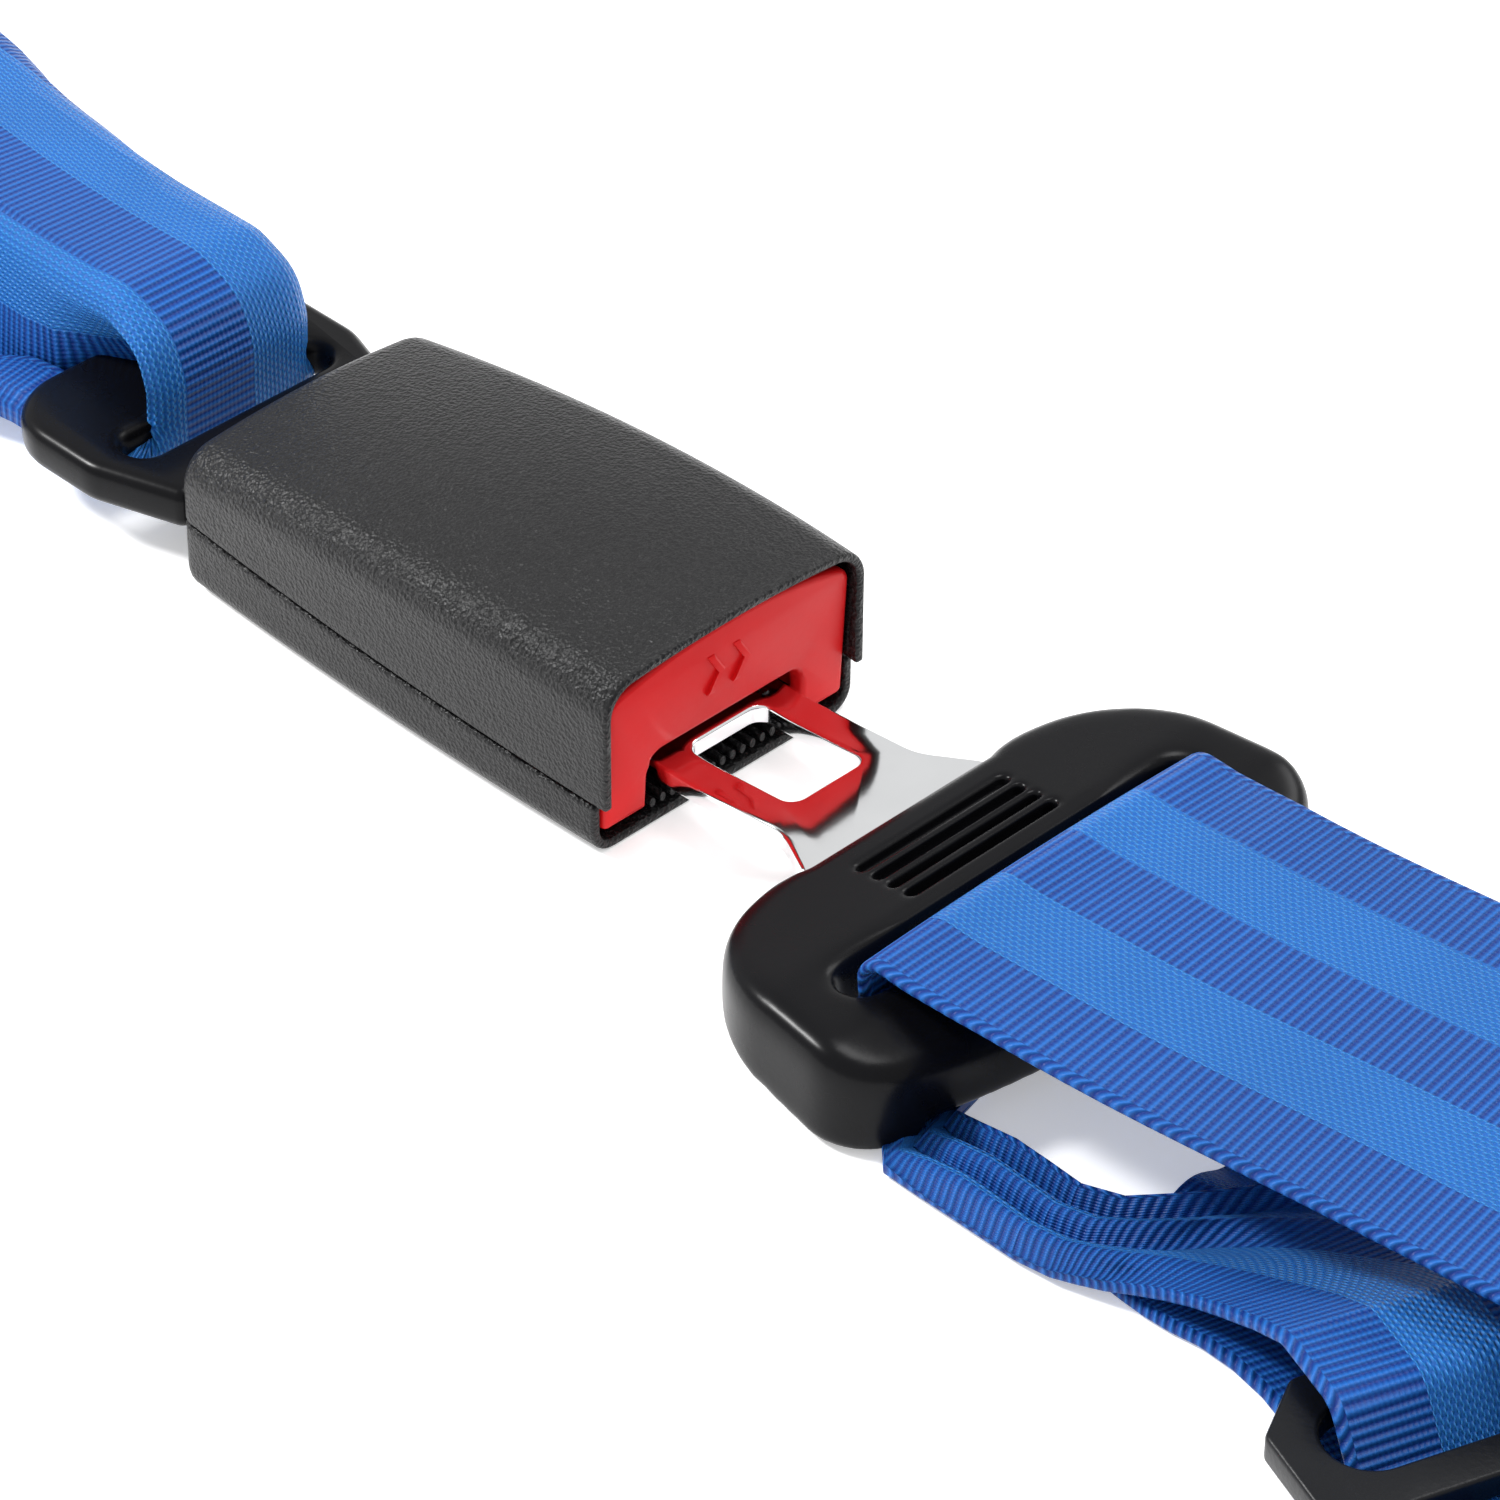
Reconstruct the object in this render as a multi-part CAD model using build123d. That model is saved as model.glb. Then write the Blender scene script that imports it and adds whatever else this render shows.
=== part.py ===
from build123d import *
import os

# A four-point racing harness: push-button buckle, tongue with its moulded handle, and the two
# runs of webbing with their slide adjusters, folded stacks and bolt-in end anchors.
# Origin: centre of the buckle's underside. +X: from the buckle towards the tongue. +Z: up.
# All sizes are in millimetres.

# ---- webbing ----
WEB_W = 50.0  # two-inch webbing
WEB_T = 1.4
WEB_GAP = 0.3  # air between webbing and what it passes

# ---- buckle covers ----
BUCKLE_L = 70.0
FRONT_X = BUCKLE_L / 2
REAR_X = -BUCKLE_L / 2
FRONT_W = 38.8
REAR_W = 37.0
FRONT_H = 23.8
REAR_H = 19.0
CROWN = 1.2
WALL = 2.0
FLOOR_T = 2.2
PARTING_FRONT = 6.8
PARTING_REAR = 9.2
TOP_R = 4.6
BOTTOM_R = 3.0
BASE_CUT = 0.3  # cut off the rounded underside to leave a flat base
LIP_BACK = 1.8  # the lower cover ends this far behind the upper one

# ---- tongue ----
TONGUE_T = 2.4
TONGUE_GAP = 0.15  # between the tongue and the frame it slides on
NECK_W = 20.0
TIP_X = FRONT_X - 10.0
WINDOW_X0 = FRONT_X - 2.0
WINDOW_X1 = FRONT_X + 14.0
WINDOW_W = 11.2
BEND_X = FRONT_X + 2.0
RISE_END_X = FRONT_X + 27.0
TONGUE_RISE = 2.4
FLARE_X = FRONT_X + 17.0
FLARE_W = 27.0
STROKE = 18.0  # push-in distance from rest to latched

# ---- handle ----
HANDLE_X0 = FRONT_X + 24.0
HANDLE_X1 = FRONT_X + 58.5
HANDLE_W = 71.0
HANDLE_H = 12.6
HANDLE_LOW = 0.4
SLOT_X0 = FRONT_X + 39.2
SLOT_W = 5.2
SLOT_L = 53.0
SLOT_LINING = 1.2  # plastic between the slot and the steel inside the handle
BAR_UNDER = 2.4  # underside of the outer bar over the webbing
GRIP_PITCH = 2.3
GRIP_COUNT = 4
GRIP_W = 1.3
GRIP_L = 22.5
GRIP_DEPTH = 1.6
GRIP_X0 = FRONT_X + 28.4

# ---- steel frame and latch ----
BASE_T = 2.0
BASE_GAP = 0.8  # cover ribs hold the frame this far off the floor of the cover
EAR_IN = 22.4  # clear width between the ears
EAR_T = 1.6
EAR_TOP = 16.2
FRAME_X0 = REAR_X + 9.5
EAR_X1 = FRONT_X - 22.0
BASE_X1 = FRONT_X - 8.5
PIVOT_X = REAR_X + 15.0
PIVOT_Z = 12.4
PIN_R = 1.5
RUNNING = 0.06
LATCH_T = 2.0
LATCH_W = 20.0
TOOTH_X0 = FRONT_X - 18.8
TOOTH_X1 = FRONT_X - 15.8
TOOTH_W = 9.0
TOOTH_CLEAR = 1.2  # air between the raised tooth and the tongue
KNUCKLE_R = 2.7
RIVET_R = 1.6
RIVET_Y = 6.2
EJECTOR_X0 = FRONT_X - 23.5
EJECTOR_W = 17.0

# ---- button ----
BUTTON_FACE_X = FRONT_X - 0.8
BUTTON_WALL = 3.2
BUTTON_GAP = 0.45
BUTTON_TRAVEL = 5.0
SKIRT_T = 2.4
SKIRT_X0 = FRONT_X - 18.0
MOUTH_W = 24.0
MOUTH_TOP = 10.4
CHEVRON_Z = 15.6
CHEVRON_PITCH = 3.0
CHEVRON_HALF_H = 2.0

# ---- springs and screws ----
EJECTOR_SPRING_R = 1.0
EJECTOR_SPRING_Y = 3.3
SPRING_WIRE_R = 0.22
BUTTON_SPRING_R = 1.5
BUTTON_SPRING_Z = 13.0
LATCH_SPRING_R = 2.2
LATCH_SPRING_AIR = 0.34
SCREW_R = 1.0
SCREW_TOP = 13.0
SCREW_HEAD_R = 1.6
SCREW_HEAD_T = 1.2
SCREW_CLEAR = 0.05
BOSS_R = 1.9

# ---- rear webbing plate ----
PLATE_T = 2.0
PLATE_OUT_Z = 6.6
PLATE_COVER_Z0 = 5.0
PLATE_COVER_Z1 = 10.2
PLATE_NECK_W = 20.0
PLATE_W = 40.6
PLATE_END_X = REAR_X - 31.0
PLATE_CORNER_R = 9.0
REAR_SLOT_X = REAR_X - 15.6
REAR_SLOT_W = 5.2
REAR_SLOT_L = 32.0
BUNCHED_W = 29.0  # the left webbing is bunched to this width in its slot
GATHER_W = 18.0  # the lap leg is gathered to this width beside the handle
GATHER_SHIFT = 5.0  # and lies this much nearer than the slot's end

# ---- adjusters, stacks, ties and anchors ----
ADJ_L = 34.0
ADJ_W = 62.0
ADJ_T = 3.2
ADJ_BAR = 5.0
ADJ_CORNER = 6.0
ADJ_Z = 3.9
ADJ_SLOT_L = 53.0
STACK_L = 120.0
SHOULDER_STACK_H = 16.0
LAP_STACK_H = 8.0
TIE_T = 1.2
TIE_L = 14.0
TIE_INSET = 28.0
ANCHOR_T = 3.0
ANCHOR_W = 62.0
ANCHOR_L = 46.0
ANCHOR_BAR = 7.0
ANCHOR_SLOT = 5.4
ANCHOR_HOLE_R = 5.75
ANCHOR_Z = 1.8
LOOP_BACK = 44.0  # webbing folded back over itself at an anchor
STITCH_L = 26.0
STITCH_W = 36.0
STITCH_T = 0.4
SHOULDER_RUN = 130.0  # from the loop to the shoulder stack
LAP_RUN = 114.0
LAP_HUMP = 1.4  # the lap strap stands this much proud of the adjuster's first bar
SHOULDER_YAW = 7.0
LAP_YAW = 20.0

HALF_L = BUCKLE_L / 2
HUGE = 400.0
os.makedirs("parts", exist_ok=True)


def save(name, *solids):
    """Write one node from one or more solids."""
    shape = solids[0] if len(solids) == 1 else Compound(children=list(solids))
    export_step(shape, f"parts/{name}.step")


def side_prism(points, width):
    """Extrude a closed outline drawn in X and Z to both sides of the XZ plane."""
    face = make_face(Polyline(*[(x, 0, z) for x, z in points], close=True))
    return extrude(face, amount=width / 2, dir=(0, 1, 0), both=True)


def plan_prism(points, z0, z1):
    """Extrude a closed outline drawn in X and Y from z0 to z1."""
    face = make_face(Polyline(*[(x, y, z0) for x, y in points], close=True))
    return extrude(face, amount=z1 - z0, dir=(0, 0, 1))


def block(x0, x1, width, z0, z1, y=0.0):
    """A box between two X and two Z values, centred on y."""
    return Pos((x0 + x1) / 2, y, (z0 + z1) / 2) * Box(x1 - x0, width, z1 - z0)


def rod(x, y, z0, z1, radius):
    """An upright round bar."""
    return Pos(x, y, (z0 + z1) / 2) * Cylinder(radius, z1 - z0)


def edges_along(shape, axis):
    """The straight edges of a shape that run along an axis."""
    return shape.edges().filter_by(axis)


def slot_prism(x0, x1, width, z0, z1):
    """A through slot with round ends, its long way across the part."""
    radius = (x1 - x0) / 2
    x = (x0 + x1) / 2
    core = block(x0, x1, width - 2 * radius, z0, z1)
    ends = [rod(x, side * (width / 2 - radius), z0, z1, radius) for side in (-1, 1)]
    return core + ends[0] + ends[1]


def coil(radius, length, turns):
    """A compression spring along +X from the origin."""
    path = Helix(pitch=length / turns, height=length, radius=radius - SPRING_WIRE_R, direction=(1, 0, 0))
    section = Plane(path @ 0, z_dir=path % 0) * Circle(SPRING_WIRE_R)
    return sweep(section, path=path)


# ---------------------------------------------------------------- buckle covers
def body_height(x):
    """Height of the buckle's crowned top at x."""
    t = min(1.0, (x + HALF_L) / BUCKLE_L)
    return REAR_H + (FRONT_H - REAR_H) * (1 - (1 - t) ** 1.6)


def cover_section(x, inset):
    """One cross-section of the buckle's body, inset by a wall."""
    t = min(1.0, (x + HALF_L) / BUCKLE_L)
    half = (REAR_W + (FRONT_W - REAR_W) * (1 - (1 - t) ** 2)) / 2 - inset
    top = body_height(x) - inset
    floor = FLOOR_T if inset else -BASE_CUT
    low, high = BOTTOM_R - inset * 0.6, TOP_R - inset * 0.8
    shoulder = top - CROWN
    points = [(x, -half, floor), (x, half, floor), (x, half, shoulder), (x, 0, top), (x, -half, shoulder)]
    outline = Polyline(*points[:3]) + ThreePointArc(*points[2:]) + Line(points[4], points[0])
    face = make_face(outline)
    corners = face.vertices().sort_by(Axis.Z)
    face = fillet(corners[:2], low)
    corners = face.vertices().filter_by(lambda v: abs(v.Z - shoulder) < 0.01 and abs(abs(v.Y) - half) < 0.01)
    return fillet(corners, high)


def body_loft(inset, x0, x1):
    """The buckle's body as a smooth loft."""
    middle = (x0 + x1) / 2
    return loft([cover_section(x, inset) for x in (x0, middle, x1)])


outer = body_loft(0.0, -HALF_L, HALF_L)
rear_edges = outer.faces().sort_by(Axis.X)[0].edges()
outer = fillet(rear_edges, 2.2) & block(-HUGE, HUGE, HUGE, 0, HUGE)
inner = body_loft(WALL, WALL - HALF_L, HALF_L + 1.0)
shell = outer - inner
plate_opening = block(-HALF_L - 2, WALL - HALF_L + 1, PLATE_NECK_W + 1.0, 4.4, 9.4)
shell -= plate_opening
slope = (PARTING_FRONT - PARTING_REAR) / BUCKLE_L
part_ends = [(-HUGE, PARTING_REAR - slope * (HUGE - HALF_L)), (HUGE, PARTING_FRONT + slope * (HUGE - HALF_L))]
above = side_prism(part_ends + [(HUGE, HUGE), (-HUGE, HUGE)], HUGE)
below = side_prism(part_ends + [(HUGE, -HUGE), (-HUGE, -HUGE)], HUGE)
upper = shell & above
lower = (shell & below) & block(-HUGE, HALF_L - LIP_BACK, HUGE, -HUGE, HUGE)

rear_screw_x, front_screw_x = REAR_X + 5.8, FRONT_X - 31.0
screw_spots = [(rear_screw_x, 14.0), (rear_screw_x, -14.0), (front_screw_x, 14.9), (front_screw_x, -14.9)]
base_z0 = FLOOR_T + BASE_GAP
base_z1 = base_z0 + BASE_T
tongue_z0 = base_z1 + TONGUE_GAP


def parting_z(x):
    """Height of the joint between the covers."""
    return PARTING_REAR + slope * (x + HALF_L)


for sx, sy in screw_spots:
    post = rod(sx, sy, FLOOR_T / 2, FRONT_H - 4.0, BOSS_R) & (inner + block(-HUGE, HUGE, HUGE, 0, FLOOR_T))
    bore = rod(sx, sy, -1, SCREW_TOP + 0.4, SCREW_R + SCREW_CLEAR)
    recess = rod(sx, sy, -1, SCREW_HEAD_T + 0.2, SCREW_HEAD_R + 0.15)
    upper = upper + (post & above)
    lower = lower + (post & below)
    upper = upper - bore
    lower = lower - bore - recess
for rib_y in (-9.7, -2.6, 2.6, 9.7):
    lower += block(FRAME_X0 + 1.5, BASE_X1 - 1, 1.6, FLOOR_T - 0.5, base_z0, rib_y)
grip_ribs = [-10.5 + 1.5 * n for n in range(15)]
for rib_y in grip_ribs:
    lower += block(BASE_X1 + 0.3, HALF_L - LIP_BACK - 0.4, 0.7, FLOOR_T - 0.5, FLOOR_T + 0.9, rib_y)
for clip_y in (-1, 1):
    y = clip_y * (FRONT_W / 2 - WALL)
    upper -= block(FRONT_X - 11, FRONT_X - 9, 1.2, PARTING_FRONT, PARTING_FRONT + 1.6, y)
save("upper_cover", upper)
save("lower_cover", lower)

screws = []
for sx, sy in screw_spots:
    screw = rod(sx, sy, 0.2, 0.2 + SCREW_HEAD_T, SCREW_HEAD_R) + rod(sx, sy, 1.0, SCREW_TOP, SCREW_R)
    screw -= block(sx - 1.4, sx + 1.4, 0.5, 0.0, 0.8, sy)
    screw -= block(sx - 0.25, sx + 0.25, 2.8, 0.0, 0.8, sy)
    screws.append(screw)
save("cover_screws", *screws)

# ---------------------------------------------------------------- steel frame, plate and rivets
ear_y = EAR_IN / 2 + EAR_T / 2
frame = block(FRAME_X0, BASE_X1, EAR_IN - 1.0, base_z0, base_z1)
frame += block(FRAME_X0, EAR_X1, EAR_IN + 2 * EAR_T, base_z0, base_z1)
for side in (-1, 1):
    ear_outline = [(FRAME_X0, base_z0), (EAR_X1, base_z0), (EAR_X1, EAR_TOP - 1.5), (EAR_X1 - 4, EAR_TOP),
                   (FRAME_X0 + 11.5, EAR_TOP), (FRAME_X0, EAR_TOP - 2)]
    frame += Pos(0, side * ear_y, 0) * side_prism(ear_outline, EAR_T)
    frame += Pos(EAR_X1 + 1.2, side * ear_y, BUTTON_SPRING_Z) * Rot(0, 90, 0) * Cylinder(0.85, 2.4)
frame -= Pos(PIVOT_X, 0, PIVOT_Z) * Rot(90, 0, 0) * Cylinder(PIN_R, HUGE)
frame -= block(TOOTH_X0 - 3.7, TOOTH_X1 + 2.3, TOOTH_W + 2.0, base_z0 - 1, base_z1 + 0.01)
rivet_spots = [(PIVOT_X, RIVET_Y), (PIVOT_X, -RIVET_Y)]
for rx, ry in rivet_spots:
    frame -= rod(rx, ry, 0, 9, RIVET_R)
save("buckle_frame", frame)

pin = Pos(PIVOT_X, 0, PIVOT_Z) * Rot(90, 0, 0) * Cylinder(PIN_R, EAR_IN + 2 * EAR_T + 1.2)
for side in (-1, 1):
    head_y = side * (EAR_IN / 2 + EAR_T + 0.3)
    pin += Pos(PIVOT_X, head_y, PIVOT_Z) * Rot(90, 0, 0) * Cylinder(PIN_R + 0.7, 0.6)
save("latch_pin", pin)

neck = PLATE_NECK_W / 2
plate_x1 = PIVOT_X + 4.4
plate_top = PLATE_OUT_Z + PLATE_T
crank = [(plate_x1, base_z1), (plate_x1, base_z1 + PLATE_T), (REAR_X + 3.5, base_z1 + PLATE_T),
         (REAR_X - 1.5, plate_top), (PLATE_END_X, plate_top), (PLATE_END_X, PLATE_OUT_Z),
         (REAR_X - 1.0, PLATE_OUT_Z), (REAR_X + 4.0, base_z1)]


def plate_outline(inset, z0, z1):
    """The rear plate's rounded outline outside the buckle."""
    x_in = -HALF_L - 1.4 - inset
    x_end = PLATE_END_X + inset
    radius = PLATE_CORNER_R - inset
    half = PLATE_W / 2 - inset
    outline = plan_prism([(x_in, -half + 4), (x_in, half - 4), (x_in - 12, half),
                          (x_end, half), (x_end, -half), (x_in - 12, -half)], z0, z1)
    corners = edges_along(outline, Axis.Z).sort_by(Axis.X)
    return fillet(corners[:2], radius)


steel_region = plate_outline(2.0, 0, HUGE) + block(-HALF_L - 6, 0, PLATE_NECK_W, 0, HUGE)
plate_blank = side_prism(crank, HUGE) & steel_region
plate_blank -= slot_prism(REAR_SLOT_X - 1, REAR_SLOT_X + REAR_SLOT_W + 1, REAR_SLOT_L + 2, 0, 20)
rear_plate = plate_blank
for rx, ry in rivet_spots:
    rear_plate -= rod(rx, ry, 0, 9, RIVET_R)
save("rear_slot_plate", rear_plate)

plate_cover = plate_outline(0.0, PLATE_COVER_Z0, PLATE_COVER_Z1)
rim = plate_cover.faces().sort_by(Axis.Z)
plate_cover = fillet(rim[-1].edges() + rim[0].edges(), 1.8)
slot_cut = slot_prism(REAR_SLOT_X, REAR_SLOT_X + REAR_SLOT_W, REAR_SLOT_L, 0, 20)
plate_cover = plate_cover - plate_blank - slot_cut
save("rear_plate_cover", plate_cover)

rivets = []
for rx, ry in rivet_spots:
    top = base_z1 + PLATE_T
    rivets.append(rod(rx, ry, base_z0, top, RIVET_R) + rod(rx, ry, top, top + 0.8, RIVET_R + 1) +
                  rod(rx, ry, base_z0 - 0.5, base_z0, RIVET_R + 0.7))
save("frame_rivets", *rivets)

# ---------------------------------------------------------------- latch, ejector and springs
latch_z0 = PIVOT_Z - LATCH_T / 2
latch = block(PIVOT_X, TOOTH_X1, LATCH_W, latch_z0, latch_z0 + LATCH_T)
latch += Pos(PIVOT_X, 0, PIVOT_Z) * Rot(90, 0, 0) * Cylinder(KNUCKLE_R, LATCH_W)
tooth_z0 = tongue_z0 + TONGUE_T + TOOTH_CLEAR
latch += block(TOOTH_X0, TOOTH_X1, TOOTH_W, tooth_z0, latch_z0 + 0.5)
latch -= Pos(PIVOT_X, 0, PIVOT_Z) * Rot(90, 0, 0) * Cylinder(PIN_R + RUNNING, HUGE)
save("latch", latch)

ejector_front = TIP_X - 0.3
ejector_top = tongue_z0 + TONGUE_T - 0.1
ejector = block(EJECTOR_X0, ejector_front, EJECTOR_W, base_z1 + 0.1, ejector_top)
ejector -= block(TOOTH_X0 - 1.2, HUGE, TOOTH_W + 1.6, 0, 20)
for side in (-1, 1):
    nib = Pos(EJECTOR_X0 - 0.7, side * EJECTOR_SPRING_Y, 6.15) * Rot(0, 90, 0) * Cylinder(0.5, 1.6)
    ejector += nib
save("ejector", ejector)
spring_z = base_z1 + 0.1 + EJECTOR_SPRING_R
springs = []
for side in (-1, 1):
    spring = coil(EJECTOR_SPRING_R, EJECTOR_X0 - plate_x1 - 0.5, 14)
    springs.append(Pos(plate_x1 + 0.25, side * EJECTOR_SPRING_Y, spring_z) * spring)
save("ejector_springs", *springs)

# ---------------------------------------------------------------- button
def button_section(x, half, top, low):
    """The button's outline across the buckle."""
    shoulder = top - CROWN - 1.6
    points = [(x, -half, low), (x, half, low), (x, half, shoulder), (x, 0, top), (x, -half, shoulder)]
    outline = Polyline(*points[:3]) + ThreePointArc(*points[2:]) + Line(points[4], points[0])
    return make_face(outline)


button_half = FRONT_W / 2 - WALL - BUTTON_GAP
button_top = FRONT_H - WALL - BUTTON_GAP
button_low = FLOOR_T + 0.4
button_outline = button_section(SKIRT_X0, button_half - 0.4, button_top - 0.9, button_low)
button = extrude(button_outline, amount=BUTTON_FACE_X - SKIRT_X0, dir=(1, 0, 0))
front_face = button.faces().sort_by(Axis.X)[-1]
button = chamfer(front_face.edges(), 0.6)
button_hollow = button_section(SKIRT_X0 - 1, button_half - SKIRT_T, button_top - 0.9 - SKIRT_T, -5.0)
button -= extrude(button_hollow, amount=BUTTON_FACE_X - BUTTON_WALL - SKIRT_X0 + 1, dir=(1, 0, 0))
mouth = block(SKIRT_X0 - 1, BUTTON_FACE_X + 1, MOUTH_W, -1, MOUTH_TOP)
mouth = fillet(edges_along(mouth, Axis.X).sort_by(Axis.Z)[-2:], 3.0)
button -= mouth
for y in (-CHEVRON_PITCH / 2, CHEVRON_PITCH / 2):
    z, high = CHEVRON_Z, CHEVRON_HALF_H
    arrow = [(y - 1.6, z - high), (y, z), (y - 1.6, z + high),
             (y - 0.6, z + high), (y + 1.0, z), (y - 0.6, z - high)]
    face = make_face(Polyline(*[(BUTTON_FACE_X - 0.05, a, b) for a, b in arrow], close=True))
    button += extrude(face, amount=0.3, dir=(1, 0, 0))
for side in (-1, 1):
    at = Pos(BUTTON_FACE_X - BUTTON_WALL - 1.5, side * ear_y, BUTTON_SPRING_Z)
    button += at * Rot(0, 90, 0) * Cylinder(0.85, 3.0)
save("release_button", button)
springs = []
for side in (-1, 1):
    length = BUTTON_FACE_X - BUTTON_WALL - EAR_X1 - 0.4
    springs.append(Pos(EAR_X1 + 0.2, side * ear_y, BUTTON_SPRING_Z) * coil(BUTTON_SPRING_R, length, 9))
save("button_springs", *springs)
latch_top = latch_z0 + LATCH_T
latch_spring_h = body_height(0) - WALL - latch_top - 4 * SPRING_WIRE_R - LATCH_SPRING_AIR
spring = Pos(0, 0, latch_top + 2 * SPRING_WIRE_R) * Rot(0, -90, 0) * coil(LATCH_SPRING_R, latch_spring_h, 5)
save("latch_spring", spring)

# ---------------------------------------------------------------- tongue and handle
def tongue_band(x0, x1, low, high):
    """The tongue's sheet between two X values, with its rise, seen from the side."""
    z = tongue_z0
    line = [(x0, z), (BEND_X, z), (RISE_END_X, z + TONGUE_RISE), (x1, z + TONGUE_RISE)]
    points = [(a, b + low) for a, b in line] + [(a, b + high) for a, b in line[::-1]]
    return side_prism(points, HUGE)


steel_x1 = HANDLE_X1 - 4.0
half_neck, half_flare = NECK_W / 2, FLARE_W / 2
steel_half = SLOT_L / 2 + 4.5
half_plan = [(TIP_X, half_neck), (FLARE_X, half_neck), (HANDLE_X0 - 0.5, half_flare),
             (HANDLE_X0 + 3, half_flare), (SLOT_X0 - 5, steel_half), (steel_x1 - 2, steel_half)]
tongue_plan = plan_prism([(x, -y) for x, y in half_plan] + half_plan[::-1], 0, 30)
upright = edges_along(tongue_plan, Axis.Z)
tongue_plan = fillet(upright.filter_by(lambda e: abs(e.center().X - TIP_X) < 0.1), 2.5)
upright = edges_along(tongue_plan, Axis.Z)
tongue_plan = fillet(upright.filter_by(lambda e: abs(e.center().X - FLARE_X) < 0.1), 6.0)
window = block(WINDOW_X0, WINDOW_X1, WINDOW_W, 0, 30)
window = fillet(edges_along(window, Axis.Z), 1.8)
steel_slot = slot_prism(SLOT_X0 - SLOT_LINING, SLOT_X0 + SLOT_W + SLOT_LINING,
                        SLOT_L + 2 * SLOT_LINING, -1, 30)
tongue_blank = (tongue_band(TIP_X - 1, steel_x1, 0, TONGUE_T) & tongue_plan) - steel_slot
tongue = tongue_blank - window
save("tongue_plate", tongue)

handle_half = HANDLE_W / 2
shoulder_x = HANDLE_X0 + 14
widest_x = HANDLE_X0 + 23
outer_x = HANDLE_X0 + 30.6


def handle_outline(side):
    """One half of the handle's plan outline, from the tongue round to its outer edge."""
    corner = (shoulder_x, side * (handle_half - 1.2))
    widest = (widest_x, side * handle_half)
    rounded = (widest_x + 5.4, side * (handle_half - 2.6))
    return [
        ThreePointArc((HANDLE_X0, side * 13.5), (HANDLE_X0 + 4.2, side * 30.0), corner),
        Line(corner, widest),
        ThreePointArc(widest, rounded, (outer_x, side * (handle_half - 8))),
    ]


outline = [Line((HANDLE_X0, -13.5), (HANDLE_X0, 13.5))] + handle_outline(1) + handle_outline(-1)
outline.append(ThreePointArc((outer_x, handle_half - 8), (HANDLE_X1, 0), (outer_x, 8 - handle_half)))
handle_plan = extrude(make_face(outline), amount=HANDLE_H + 6)
profile = [(HANDLE_X0 - 1, 3.6), (HANDLE_X0 + 12, 1.2), (HANDLE_X0 + 20, HANDLE_LOW),
           (HANDLE_X1 + 1, HANDLE_LOW), (HANDLE_X1 + 1, HANDLE_H - 3.4), (HANDLE_X0 + 23, HANDLE_H),
           (HANDLE_X0 + 13, HANDLE_H), (HANDLE_X0 - 1, HANDLE_H - 1.6)]
handle = handle_plan & side_prism(profile, HUGE)
top_rim = handle.edges().filter_by(lambda e: e.bounding_box().min.Z > HANDLE_H - 4.4)
outer_rim = ShapeList([e for e in top_rim if abs(e.center().Y) > 8 or e.center().X > HANDLE_X1 - 2
                       or e.center().X < HANDLE_X0 + 0.5])
curved_rim = ShapeList([e for e in outer_rim if e.geom_type != GeomType.LINE
                        or abs(e.center().Y) > handle_half - 2 or e.center().X < HANDLE_X0 + 0.5])
handle = fillet(curved_rim, 2.2)
webbing_slot = slot_prism(SLOT_X0, SLOT_X0 + SLOT_W, SLOT_L, -1, 30)
handle -= webbing_slot
handle -= block(SLOT_X0 + SLOT_W / 2, HUGE, SLOT_L + 1.0, -1, BAR_UNDER)
handle -= tongue_blank
for n in range(GRIP_COUNT):
    x = GRIP_X0 + n * GRIP_PITCH
    handle -= slot_prism(x, x + GRIP_W, GRIP_L, HANDLE_H - 0.9 - GRIP_DEPTH, 30)
save("tongue_handle", handle)


# ---------------------------------------------------------------- webbing
def ribbon(points, radius, width=HUGE, thickness=WEB_T):
    """A strap whose middle line is drawn in X and Z, extruded to both sides."""
    line = FilletPolyline(*[(x, z) for x, z in points], radius=radius)
    wire = Wire(line.edges()).offset_2d(thickness / 2, kind=Kind.ARC, side=Side.BOTH)
    face = Plane.XZ * make_face(wire.edges())
    return extrude(face, amount=width / 2, both=True)


def half_space(x, yaw, keep):
    """Everything before (keep=-1) or beyond (keep=1) an upright plane across the strap."""
    big = Pos(keep * HUGE / 2, 0, 0) * Box(HUGE, HUGE, HUGE)
    return Pos(x, 0, 0) * Rot(0, 0, yaw) * big


def strip(shape, width):
    """Trim a wide ribbon to the webbing's width."""
    return shape & Box(3 * HUGE, width, HUGE)


def stack(x0, height):
    """A neat folded stack of webbing."""
    core = block(x0, x0 + STACK_L, WEB_W, TIE_T, TIE_T + height)
    return fillet(edges_along(core, Axis.Y), 2.5)


def ties(x0, height):
    """The two bands that hold a stack."""
    rings = []
    for x in (x0 + TIE_INSET, x0 + STACK_L - TIE_INSET - TIE_L):
        ring = block(x, x + TIE_L, WEB_W + 2 * TIE_T + 0.4, 0, 2 * TIE_T + height + 0.2)
        rings.append(ring - block(x - 1, x + TIE_L + 1, WEB_W + 0.4, TIE_T, TIE_T + height + 0.2))
    return rings


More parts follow.
